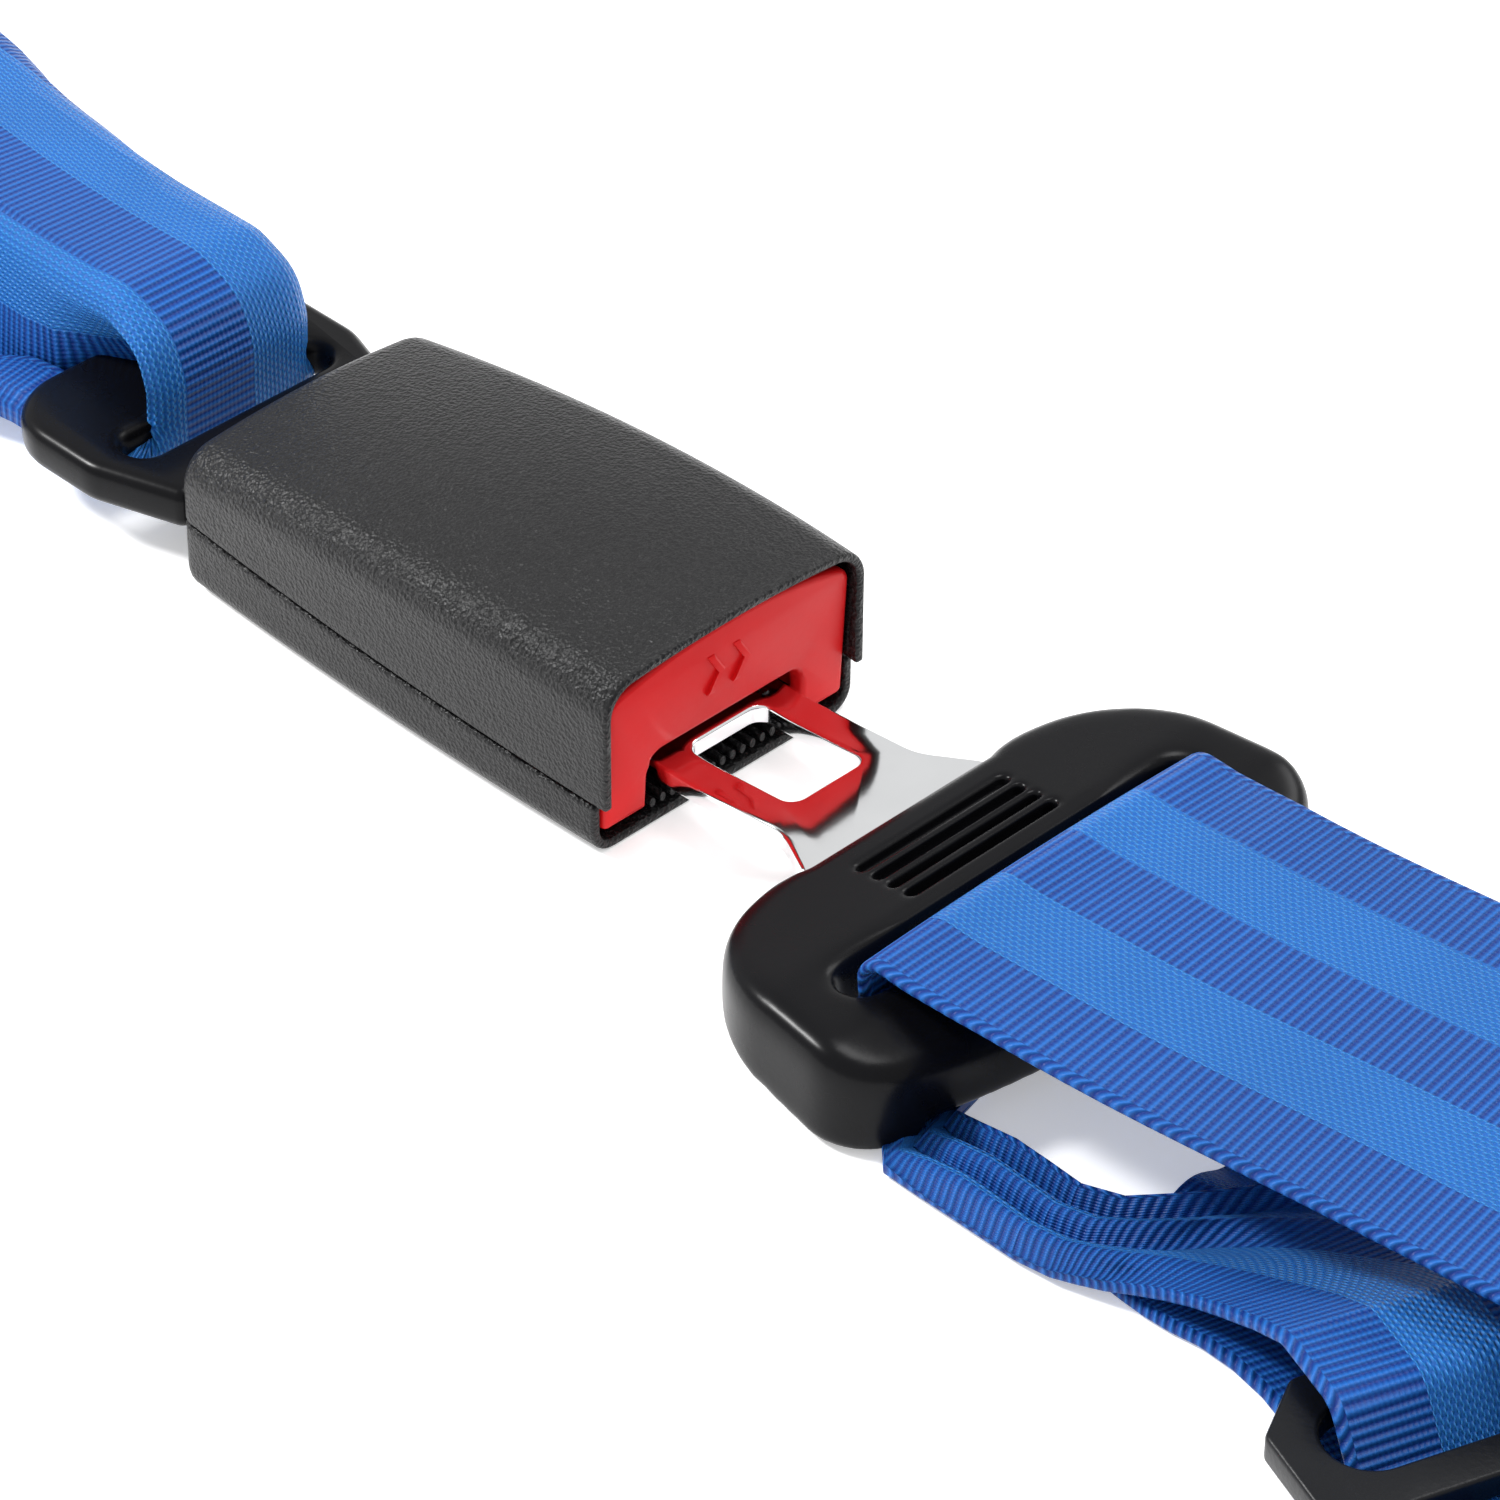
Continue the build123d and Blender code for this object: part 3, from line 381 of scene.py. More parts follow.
class Finishes:
    """Every finish of the harness, built once."""

    def __init__(self) -> None:
        """Build the materials."""
        grain = surface_grain()
        self.cover = HardFinish("cover grain plastic", (0.007, 0.007, 0.0075, 1), 0.34, 2100.0, 1.7, 0.3,
                                specular=0.26).make(grain)
        self.handle = HardFinish("handle gloss plastic", (0.003, 0.003, 0.0038, 1), 0.27, 900.0, 0.05, 0.3,
                                 specular=0.13).make(grain)
        self.button = HardFinish("button red plastic", (0.64, 0.008, 0.010, 1), 0.34, 1500.0, 0.06, 0.12,
                                 specular=0.15).make(grain)
        self.chrome = HardFinish("tongue chrome", (0.93, 0.94, 0.95, 1), 0.10, 700.0, 0.02, 0.1,
                                 metallic=1.0).make(grain)
        self.steel = HardFinish("frame zinc steel", (0.50, 0.50, 0.48, 1), 0.30, 1200.0, 0.15, 0.25,
                                metallic=1.0).make(grain)
        self.spring = HardFinish("spring wire", (0.55, 0.55, 0.56, 1), 0.22, 3000.0, 0.05, 0.1,
                                 metallic=1.0).make(grain)
        self.slider = HardFinish("slider plastic", (0.03, 0.03, 0.03, 1), 0.5, 1500.0, 0.1, 0.2).make(grain)
        self.painted = HardFinish("adjuster black paint", (0.004, 0.0045, 0.006, 1), 0.33, 1400.0, 0.18, 0.4,
                                  specular=0.22).make(grain)
        self.zinc = HardFinish("anchor zinc plate", (0.56, 0.55, 0.50, 1), 0.28, 900.0, 0.16, 0.3,
                               metallic=1.0).make(grain)
        self.webbing = WebbingFinish().make(webbing_weave())
        # Band and thread colour pairs: painted shade for the pile's hollows, then its lighter tops.
        self.tie = FuzzFinish("tie loop pile", (0.004, 0.004, 0.005, 1), (0.03, 0.03, 0.034, 1)).make()
        self.thread = FuzzFinish("sewing thread", (0.004, 0.02, 0.12, 1), (0.02, 0.09, 0.35, 1),
                                 4000.0, 0.1).make()


# ---------------------------------------------------------------- mesh making
def as_piece(name: str, mesh: Mesh, material: Material,
             sharp_deg: float = 35.0) -> Piece:
    """Link a mesh in metres as a finished, smooth-shaded piece.

    Args:
        name: The piece's name.
        mesh: Its mesh.
        material: Its finish.
        sharp_deg: Edges steeper than this stay crisp.

    Returns:
        The object, at the origin.
    """
    mesh.materials.clear()
    mesh.materials.append(material)
    mesh.shade_smooth()
    mesh.set_sharp_from_angle(angle=math.radians(sharp_deg))
    piece = bpy.data.objects.new(name, mesh)
    bpy.context.scene.collection.objects.link(piece)
    return piece


def dress(piece: Piece, body: Body, slot: Slot, *nodes: str) -> Piece:
    """Attach a piece to its body and hide the CAD nodes that it replaces.

    Args:
        piece: The finished piece.
        body: The body that carries it.
        slot: The record's material slot; not used.
        *nodes: CAD nodes that it replaces.

    Returns:
        The piece.
    """
    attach(piece, body.value)
    if nodes:
        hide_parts(*nodes)
    LOG.info("%s: %d faces on %s", piece.name, len(piece.data.polygons), body.value)
    return piece


@contextmanager
def edited(mesh: Mesh) -> Iterator[EditMesh]:
    """Lend a mesh as an edit mesh and write it back afterwards."""
    work = bmesh.new()
    work.from_mesh(mesh)
    yield work
    work.to_mesh(mesh)
    work.free()


def baked(piece: Piece) -> Piece:
    """Turn a piece's live modifiers into its own plain mesh and return the piece."""
    graph = bpy.context.evaluated_depsgraph_get()
    graph.update()
    mesh = bpy.data.meshes.new_from_object(piece.evaluated_get(graph))
    piece.modifiers.clear()
    old = piece.data
    piece.data = mesh
    if old.users == 0:
        bpy.data.meshes.remove(old)
    return piece


def outward(mesh: Mesh) -> Mesh:
    """Merge doubles, point all faces outwards and return the mesh."""
    with edited(mesh) as work:
        bmesh.ops.remove_doubles(work, verts=work.verts, dist=1e-7)
        bmesh.ops.recalc_face_normals(work, faces=work.faces)
    return mesh


def corner_arc(before: np.ndarray, corner: np.ndarray, after: np.ndarray, radius: float, turn_deg: float,
               room: float = math.inf) -> list[np.ndarray]:
    """Points of the arc that rounds a corner.

    Args:
        before: The corner before it.
        corner: The corner.
        after: The corner after it.
        radius: Radius of the arc.
        turn_deg: Turn of one step.
        room: Longest part of either side that the arc may take.

    Returns:
        The points, or the corner itself where the line runs straight on.
    """
    back, ahead = before - corner, after - corner
    back, ahead = back / np.linalg.norm(back), ahead / np.linalg.norm(ahead)
    half = math.acos(max(-1.0, min(1.0, float(back @ ahead)))) / 2
    if half > math.radians(STRAIGHT_DEG):
        return [corner]
    cut = min(radius / math.tan(half), room)
    arc_r = radius if cut < room else cut * math.tan(half)
    centre = corner + (back + ahead) / np.linalg.norm(back + ahead) * arc_r / math.sin(half)
    first, last = corner + back * cut - centre, corner + ahead * cut - centre
    sweep = math.atan2(first[0] * last[1] - first[1] * last[0], float(first @ last))
    steps = max(2, math.ceil(abs(math.degrees(sweep)) / turn_deg))
    arc = []
    for a in (sweep * k / steps for k in range(steps + 1)):
        arc.append(centre + np.array((first[0] * math.cos(a) - first[1] * math.sin(a),
                                      first[0] * math.sin(a) + first[1] * math.cos(a))))
    return arc


def rounded_route(points: Sequence[Point2], radius: float, step: float) -> np.ndarray:
    """Points along a polyline whose corners are arcs.

    Args:
        points: Corners of the route.
        radius: Radius of the arcs.
        step: Longest distance between points on straight runs.

    Returns:
        An array of points, one row each.
    """
    corners = [np.array(p, float) for p in points]
    out = [corners[0]]
    for before, corner, after in zip(corners, corners[1:], corners[2:]):
        room = 0.499 * min(np.linalg.norm(before - corner), np.linalg.norm(after - corner))
        out += corner_arc(before, corner, after, radius, 13.0, room)
    out.append(corners[-1])
    dense = [out[0]]
    for a, b in zip(out, out[1:]):
        gap = float(np.linalg.norm(b - a))
        if gap < 1e-6:
            continue
        count = max(1, math.ceil(gap / step))
        dense += [a + (b - a) * k / count for k in range(1, count + 1)]
    return np.array(dense)


def smooth_step(value: np.ndarray | float) -> np.ndarray | float:
    """Ease from 0 to 1."""
    t = np.clip(value, 0.0, 1.0)
    return t * t * (3 - 2 * t)


def keyed(x: float, keys: Sequence[Point2]) -> float:
    """A value eased between (place, value) pairs.

    Args:
        x: The place.
        keys: Pairs in order of place.

    Returns:
        The value there.
    """
    if x <= keys[0][0]:
        return keys[0][1]
    for (x0, v0), (x1, v1) in zip(keys, keys[1:]):
        if x <= x1:
            return v0 + (v1 - v0) * float(smooth_step((x - x0) / (x1 - x0)))
    return keys[-1][1]


@dataclass
class Leg:
    """One run of a strap from its slot outwards: a side view, a plan bend and how its width is held."""

    route: list[Point2]
    bend_at: float
    bend_deg: float
    bend_half: float = 14.0
    radius: float = 2.0
    near_tuck: list[Point2] = field(default_factory=lambda: [(0.0, 0.0)])
    far_tuck: list[Point2] = field(default_factory=lambda: [(0.0, 0.0)])
    near_turn: list[Point2] = field(default_factory=lambda: [(0.0, 172.0)])
    far_turn: list[Point2] = field(default_factory=lambda: [(0.0, 172.0)])
    near_r: list[Point2] = field(default_factory=lambda: [(0.0, 1.2)])
    far_r: list[Point2] = field(default_factory=lambda: [(0.0, 1.7)])
    gather: list[Point2] = field(default_factory=lambda: [(0.0, 0.0)])
    gather_at: float = -29.0
    gather_width: float = 0.2
    pleat_count: float = 2.5
    pleat_depth: list[Point2] = field(
        default_factory=lambda: [(88.0, 0.5), (98.0, 3.4), (122.0, 2.4), (140.0, 0.6)])
    shift: list[Point2] = field(default_factory=lambda: [(0.0, 0.0)])
    camber: float = 0.4

    def plan(self, x: float) -> tuple[float, float, float]:
        """Plan place and heading of the leg's middle at a distance along it."""
        turn = math.radians(self.bend_deg)
        start, half = self.bend_at - self.bend_half, self.bend_half
        if x <= start:
            return x, 0.0, 0.0
        reach = min(x - start, 2 * half)
        count = 12
        px, py = start, 0.0
        for k in range(count):
            a = turn * (k + 0.5) / count * reach / (2 * half)
            px += math.cos(a) * reach / count
            py += math.sin(a) * reach / count
        heading = turn * reach / (2 * half)
        rest = max(0.0, x - start - 2 * half)
        return px + math.cos(heading) * rest, py + math.sin(heading) * rest, heading


@dataclass
class Ribbon:
    """A strap of webbing: a closed thin solid that follows one or two legs."""

    name: str
    width: float = 50.0
    thickness: float = 1.3
    step: float = 5.0
    columns: int = 30
    turned: bool = False

    def stations_across(self) -> np.ndarray:
        """Places across the webbing, closer together at its edges."""
        half = self.width / 2
        inner = np.linspace(-half + 0.7, half - 0.7, self.columns)
        rim = np.array([half - 0.35, half - 0.1, half])
        return np.concatenate([-rim[::-1], inner, rim])

    def section(self, leg: Leg, x: float, across: np.ndarray) -> tuple[np.ndarray, np.ndarray]:
        """The webbing's cross-section as (sideways, depth) places.

        Args:
            leg: The run.
            x: Distance along it.
            across: Places across the flat webbing.

        Returns:
            Sideways and depth arrays; depth grows towards the inside of the loop.
        """
        half = self.width / 2
        side, depth = across.copy(), leg.camber * (across / half) ** 2
        for sign, turn_keys, tuck_keys, r_keys in ((-1, leg.near_turn, leg.near_tuck, leg.near_r),
                                                   (1, leg.far_turn, leg.far_tuck, leg.far_r)):
            tuck, r, turn = keyed(x, tuck_keys), keyed(x, r_keys), math.radians(keyed(x, turn_keys))
            if tuck < 0.05:
                continue
            flat = half - tuck
            reach = np.maximum(0.0, sign * across - flat)
            angle = np.minimum(reach / r, turn)
            beyond = np.maximum(0.0, reach - r * turn)
            bent_side = sign * (flat + r * np.sin(angle) + beyond * math.cos(turn))
            bent_depth = r * (1 - np.cos(angle)) + beyond * math.sin(turn)
            mask = reach > 0
            side = np.where(mask, bent_side, side)
            depth = np.where(mask, bent_depth + leg.camber, depth)
        g = keyed(x, leg.gather)
        if g > 0:
            s = (across + half) / self.width
            bunched = leg.gather_at + across * leg.gather_width
            side = side * (1 - g) + bunched * g
            pleats = 0.5 - 0.5 * np.cos(2 * math.pi * leg.pleat_count * s)
            depth = depth + g * keyed(x, leg.pleat_depth) * pleats
        return side + keyed(x, leg.shift), depth

    def make(self, legs: Sequence[tuple[Leg, bool]],
             material: Material) -> tuple[Piece, float]:
        """Build the strap.

        Args:
            legs: Legs in order, each with True where it is followed inwards.
            material: The webbing's finish.

        Returns:
            The piece and its length in millimetres.
        """
        across = self.stations_across()
        half = self.width / 2
        rim = ((np.abs(across) - half + 0.7) / 0.7).clip(0)
        thick = self.thickness / 2 * np.sqrt(np.clip(1 - rim ** 2, 0.02, 1))
        tops, bottoms, lengths = [], [], []
        total, last = 0.0, None
        for leg, inwards in legs:
            path = rounded_route(leg.route, leg.radius, self.step)
            if inwards:
                path = path[::-1]
            tangents = np.gradient(path, axis=0)
            tangents /= np.linalg.norm(tangents, axis=1)[:, None] + 1e-9
            for (x, z), (dx, dz) in zip(path, tangents):
                if last is not None:
                    gap = math.hypot(x - last[0], z - last[1])
                    if gap < 1e-6:
                        continue
                    total += gap
                last = (x, z)
                side, depth = self.section(leg, x, across)
                slope_side, slope_depth = np.gradient(side), np.gradient(depth)
                size = np.hypot(slope_side, slope_depth) + 1e-9
                n_side, n_depth = -slope_depth / size, slope_side / size
                px, py, heading = leg.plan(x)
                fore = np.array([math.cos(heading), math.sin(heading), 0.0])
                wide = np.array([-math.sin(heading), math.cos(heading), 0.0])
                inner = -dz * fore + dx * np.array([0.0, 0.0, 1.0])
                base = np.array([px, py, z])
                middle = base + side[:, None] * wide + depth[:, None] * inner
                lift = (n_side[:, None] * wide + n_depth[:, None] * inner) * thick[:, None]
                tops.append(middle - lift)
                bottoms.append(middle + lift)
                lengths.append(total)
        return self.mesh_from(tops, bottoms, lengths, across, material), total

    def mesh_from(self, tops: list, bottoms: list, lengths: list, across: np.ndarray,
                  material: Material) -> Piece:
        """Join the two faces of the webbing into a closed mesh with a UV in webbing widths.

        Args:
            tops: One row of outer points per station.
            bottoms: One row of inner points per station.
            lengths: Distance along the webbing per station.
            across: Places across the webbing.
            material: The finish.

        Returns:
            The piece.
        """
        rows, columns = len(tops), len(across)
        points = np.concatenate([np.array(tops).reshape(-1, 3), np.array(bottoms).reshape(-1, 3)]) * MM
        if self.turned:
            points = points * np.array([-1.0, -1.0, 1.0])
        grid = np.arange(rows * columns).reshape(rows, columns)
        a, b = grid[:-1, :-1].ravel(), grid[1:, :-1].ravel()
        c, d = grid[1:, 1:].ravel(), grid[:-1, 1:].ravel()
        low = rows * columns
        faces = [np.stack([a, b, c, d], 1), np.stack([d, c, b, a], 1) + low]
        ring = np.concatenate([grid[:, 0], grid[-1, 1:], grid[-2::-1, -1], grid[0, -2:0:-1]])
        after = np.roll(ring, -1)
        faces.append(np.stack([ring, after, after + low, ring + low], 1)[:, ::-1])
        quads = np.concatenate(faces)
        mesh = bpy.data.meshes.new(self.name)
        mesh.from_pydata(points.tolist(), [], quads.tolist())
        layer = mesh.uv_layers.new(name="webbing")
        u = np.tile((across + self.width / 2) / self.width, rows)
        v = np.repeat(np.array(lengths) / self.width, columns)
        uv = np.stack([np.concatenate([u, u]), np.concatenate([v, v])], 1)
        layer.data.foreach_set("uv", uv[quads.ravel()].astype(np.float32).ravel())
        with edited(mesh) as work:
            bmesh.ops.recalc_face_normals(work, faces=work.faces)
        return as_piece(self.name, mesh, material, 75.0)


def folded_stack(x0: float, x1: float, z0: float, layers: int, pitch: float) -> list[Point2]:
    """Side view of webbing folded to and fro, from its top near end to its bottom far end.

    Args:
        x0: Near end.
        x1: Far end.
        z0: Height of the lowest layer's middle.
        layers: An odd count of layers.
        pitch: Height of one layer.

    Returns:
        The corners of the route.
    """
    points: list[Point2] = []
    for k in range(layers):
        z = z0 + pitch * (layers - 1 - k)
        ends = (x0 + 0.8, x1 - 0.8) if k % 2 == 0 else (x1 - 0.8, x0 + 0.8)
        points += [(ends[0], z), (ends[1], z)]
    return points


@dataclass
class AdjusterPlace:
    """Where a three-bar adjuster holds its strap, along the leg."""

    centre: float
    length: float = 34.0
    bar: float = 5.0
    low: float = 3.9
    high: float = 7.1
    clear: float = 1.0

    def weave(self, hump: float) -> list[Point2]:
        """Webbing over the first bar, under the middle one and over the last.

        Args:
            hump: How far the webbing stands off the first bar.

        Returns:
            Corners of the route.
        """
        over, under, half = self.high + self.clear, self.low - self.clear, self.length / 2
        c, inner = self.centre, self.bar / 2
        return [(c - half - 2, over + hump), (c - half + self.bar + 2.2, over + hump),
                (c - inner - 2.2, under), (c + inner + 2.2, under),
                (c + half - self.bar - 2.2, over), (c + half + 2, over)]


@dataclass
class StrapSide:
    """All the webbing of one side, with its folded stacks, anchors, ties, adjusters and stitching."""

    name: str
    body: Body
    sign: int
    shoulder_from: float
    lap_from: float
    adjuster_at: float
    tail_from: float
    start: list[Point2]
    lap_start: list[Point2]
    shoulder_z: float
    radius: float
    tail_start: float = 0.0
    shoulder_extra: dict = field(default_factory=dict)
    lap_extra: dict = field(default_factory=dict)
    shoulder_yaw: float = 7.0
    lap_yaw: float = 20.0
    shoulder_run: float = 130.0
    lap_run: float = 114.0
    stack: float = 120.0
    anchor_bar: float = 7.0
    anchor_high: float = 5.8
    floor: float = 1.05
    over: float = 2.4
    back: float = 42.0
    adjuster_gap: float = 27.0
    shoulder_anchor_gap: float = 108.0
    lap_anchor_gap: float = 66.0
    tie_inset: float = 35.0
    shoulder_stack_high: float = 16.0
    lap_stack_high: float = 8.0

    @property
    def shoulder_end(self) -> float:
        """Where the shoulder stack ends along its leg."""
        return self.shoulder_from + self.shoulder_run + self.stack

    @property
    def lap_end(self) -> float:
        """Where the lap stack ends along its leg."""
        return self.lap_from + self.lap_run + self.stack

    def anchor_end(self, x: float) -> list[Point2]:
        """Webbing that turns round an anchor's bar and comes back over itself.

        Args:
            x: Where the anchor begins along the leg.

        Returns:
            Corners of the route.
        """
        turn = x + self.anchor_bar + 1.0
        return [(x - 26, self.floor), (turn, self.floor), (turn, self.anchor_high), (x - 1, self.anchor_high),
                (x - 14, self.over), (x - self.back, self.over)]

    def shoulder_leg(self) -> Leg:
        """The shoulder strap from the slot to its bolt-in anchor."""
        f = self.shoulder_from
        x0, x1 = f + self.shoulder_run, self.shoulder_end
        adjuster = AdjusterPlace(x1 + self.adjuster_gap)
        route = self.start + [(f + 30, self.shoulder_z), (x0 - 6, self.shoulder_stack_high)]
        route += folded_stack(x0, x1, 1.95, 11, 1.44)
        route += [(x1 + 3, 2.4)] + adjuster.weave(0.0) + self.anchor_end(x1 + self.shoulder_anchor_gap)
        return Leg(route, f, self.shoulder_yaw * self.sign, radius=self.radius, **self.shoulder_extra)

    def lap_leg(self) -> Leg:
        """The lap strap from the slot to its bolt-in anchor."""
        f = self.lap_from
        x0, x1 = f + self.lap_run, self.lap_end
        weave = AdjusterPlace(f + self.adjuster_at).weave(1.4)
        route = self.lap_start + weave + [(x0 - 4, 8.2)] + folded_stack(x0, x1, 2.0, 5, 1.55)
        route += self.anchor_end(x1 + self.lap_anchor_gap)
        return Leg(route, f, -self.lap_yaw * self.sign, radius=self.radius, **self.lap_extra)

    def placed(self, leg: Leg, x: float, y: float, z: float) -> Vector:
        """A point beside a leg, in the part's frame in millimetres."""
        px, py, heading = leg.plan(x)
        flip = -1.0 if self.body is Body.BUCKLE else 1.0
        return Vector((flip * (px - math.sin(heading) * y), flip * (py + math.cos(heading) * y), z))

    def placing(self, leg: Leg, x: float, z: float) -> Matrix:
        """The place and turn of a flat piece on a leg, in metres."""
        px, py, heading = leg.plan(x)
        flip = self.body is Body.BUCKLE
        at = Matrix.Translation((px * MM, py * MM, z * MM)) @ Matrix.Rotation(heading, 4, "Z")
        return (Matrix.Rotation(math.pi, 4, "Z") @ at) if flip else at

    def build(self, finishes: Finishes) -> None:
        shoulder, lap = self.shoulder_leg(), self.lap_leg()
        n = self.name
        ribbon = Ribbon(f"strap_webbing_{n}", turned=self.body is Body.BUCKLE)
        strap, length = ribbon.make([(shoulder, True), (lap, False)], finishes.webbing)
        loop = "tongue_loop_webbing_right" if n == "right" else "buckle_loop_webbing_left"
        dress(strap, self.body, Slot.WEBBING, loop, f"shoulder_webbing_{n}", f"shoulder_stack_{n}",
              f"lap_webbing_{n}", f"lap_stack_{n}", f"shoulder_anchor_webbing_{n}", f"lap_anchor_webbing_{n}")
        self.tail(lap, finishes)
        self.plates(shoulder, lap, finishes)
        self.ties(shoulder, lap, finishes)
        self.stitches(shoulder, lap, finishes)

    def tail(self, lap: Leg, finishes: Finishes) -> None:
        """The loose end of the lap strap, lying under its adjuster."""
        x0, x1 = self.lap_from + self.tail_from + 2, self.lap_from + self.adjuster_at + 31
        early = self.tail_start
        drift = [(x0 - early, -early * 0.62), (x0 + 22, 0.0)]
        squeeze = [(x0 - early, 0.6 if early else 0.0), (x0 + 8, 0.0)]
        leg = Leg([(x0 - early, 0.74), (x1, 0.74)], lap.bend_at, lap.bend_deg, camber=0.0, shift=drift,
                  gather=squeeze, gather_at=-14.0)
        ribbon = Ribbon(f"tail_webbing_{self.name}", turned=self.body is Body.BUCKLE)
        tail, length = ribbon.make([(leg, False)], finishes.webbing)
        dress(tail, self.body, Slot.WEBBING, f"lap_tail_{self.name}")

    def plates(self, shoulder: Leg, lap: Leg, finishes: Finishes) -> None:
        """The adjusters and the bolt-in anchors."""
        adjuster, anchor = (adjuster_plate(), 3.2, 0.55, 5.5), (anchor_plate(), 3.0, 0.5, 3.3)
        for label, leg, x, kind, finish, slot in (
                ("lap_adjuster", lap, self.lap_from + self.adjuster_at, adjuster,
                 finishes.painted, Slot.ADJUSTER),
                ("shoulder_adjuster", shoulder, self.shoulder_end + self.adjuster_gap, adjuster,
                 finishes.painted, Slot.ADJUSTER),
                ("shoulder_anchor", shoulder, self.shoulder_end + self.shoulder_anchor_gap, anchor,
                 finishes.zinc, Slot.ANCHOR),
                ("lap_anchor", lap, self.lap_end + self.lap_anchor_gap, anchor, finishes.zinc, Slot.ANCHOR)):
            plate, thick, rim, z = kind
            mesh = plate.mesh(f"{label}_plate_{self.name}", thick, rim)
            mesh.transform(self.placing(leg, x, z))
            dress(as_piece(mesh.name, mesh, finish), self.body, slot, f"{label}_{self.name}")

    def ties(self, shoulder: Leg, lap: Leg, finishes: Finishes) -> None:
        """Four hook-and-loop bands round the folded stacks."""
        work = bmesh.new()
        length = 0.0
        for leg, end, high in ((shoulder, self.shoulder_end, self.shoulder_stack_high),
                               (lap, self.lap_end, self.lap_stack_high)):
            for x in (end - self.stack + self.tie_inset, end - self.tie_inset):
                length += tie_band(work, self.placing(leg, x, 0.0), 50.2, high)
        mesh = bpy.data.meshes.new(f"stack_tie_bands_{self.name}")
        work.to_mesh(mesh)
        work.free()
        piece = as_piece(mesh.name, outward(mesh), finishes.tie, 50.0)
        dress(piece, self.body, Slot.TIE, f"stack_ties_{self.name}")

    def stitches(self, shoulder: Leg, lap: Leg, finishes: Finishes) -> None:
        """Box-and-cross stitching where the webbing closes round its anchors."""
        paths = []
        for leg, x in ((shoulder, self.shoulder_end + self.shoulder_anchor_gap),
                       (lap, self.lap_end + self.lap_anchor_gap)):
            x0, x1, y, z = x - 40.0, x - 16.0, 17.5, self.over + 0.75
            box = [(x0, -y), (x1, -y), (x1, y), (x0, y), (x0, -y)]
            for run in (box, [(x0, -y), (x1, y)], [(x0, y), (x1, -y)]):
                paths.append([self.placed(leg, px, py, z) for px, py in run])
        piece = StitchRow().sew(f"anchor_stitches_{self.name}", paths, finishes.thread)
        dress(piece, self.body, Slot.THREAD, f"anchor_stitching_{self.name}")


# ---------------------------------------------------------------- flat plates
def round_corners(points: Sequence[Point2], radii: Sequence[float], turn_deg: float = 9.0) -> list[Point2]:
    """A closed outline with arcs at its corners.

    Args:
        points: Corners in order.
        radii: A radius for each corner, 0 for a sharp one.
        turn_deg: Turn of one arc step.

    Returns:
        The outline's points.
    """
    out: list[Point2] = []
    count = len(points)
    for i, radius in enumerate(radii):
        before, corner, after = (np.array(points[(i + k) % count], float) for k in (-1, 0, 1))
        if radius <= 0:
            out.append(tuple(corner))
            continue
        out += [tuple(point) for point in corner_arc(before, corner, after, radius, turn_deg)]
    return out


def slot_outline(x0: float, x1: float, length: float) -> list[Point2]:
    """A long hole across a plate, with round ends."""
    radius = (x1 - x0) / 2 - 0.001
    half = length / 2
    return round_corners([(x0, -half), (x1, -half), (x1, half), (x0, half)], [radius] * 4)


@dataclass
class FlatPlate:
    """A stamped plate: an outline with holes."""

    outline: list[Point2]
    holes: list[list[Point2]] = field(default_factory=list)

    def mesh(self, name: str, thick: float, rim: float) -> Mesh:
        """Give the plate its thickness and rounded rims.

        Args:
            name: The mesh's name.
            thick: Thickness.
            rim: Radius of the rims.

        Returns:
            A mesh in metres, centred on z 0.
        """
        curve = bpy.data.curves.new(name, "CURVE")
        curve.dimensions = "2D"
        curve.fill_mode = "BOTH"
        for loop in [self.outline] + self.holes:
            spline = curve.splines.new("POLY")
            spline.points.add(len(loop) - 1)
            for point, (x, y) in zip(spline.points, loop):
                point.co = (x * MM, y * MM, 0, 1)
            spline.use_cyclic_u = True
        curve.extrude = (thick / 2 - rim) * MM
        curve.bevel_depth = rim * MM
        curve.bevel_resolution = 3
        curve.offset = -rim * MM
        holder = bpy.data.objects.new(name, curve)
        bpy.context.scene.collection.objects.link(holder)
        graph = bpy.context.evaluated_depsgraph_get()
        graph.update()
        mesh = bpy.data.meshes.new_from_object(holder.evaluated_get(graph))
        bpy.data.objects.remove(holder)
        bpy.data.curves.remove(curve)
        mesh.name = name
        return outward(mesh)


def adjuster_plate() -> FlatPlate:
    """A three-bar slide adjuster centred on the origin."""
    half, wide, cut, bar, slot = 17.0, 31.0, 6.0, 5.0, 53.0
    corners = [(-half, cut - wide), (cut - half, -wide), (half - cut, -wide), (half, cut - wide),
               (half, wide - cut), (half - cut, wide), (cut - half, wide), (-half, wide - cut)]
    outline = round_corners(corners, [1.6] * 8)
    gap = (2 * half - 3 * bar) / 2
    holes = [slot_outline(x, x + gap, slot) for x in (-half + bar, bar / 2)]
    return FlatPlate(outline, holes)


def anchor_plate() -> FlatPlate:
    """A bolt-in end anchor that begins at x 0, with its webbing slot and bolt hole."""
    wide, slot_end, length = 31.0, 12.4, 46.0
    corners = [(0, -wide), (slot_end + 4, -wide), (length, -13),
               (length, 13), (slot_end + 4, wide), (0, wide)]
    outline = round_corners(corners, [4, 6, 9, 9, 6, 4])
    bolt_x, bolt_r = 31, 5.75
    turns = np.linspace(0, 2 * math.pi, 40, endpoint=False)
    ring = [(bolt_x + bolt_r * math.cos(a), bolt_r * math.sin(a)) for a in turns]
    return FlatPlate(outline, [slot_outline(7.0, slot_end, 54.0), ring])


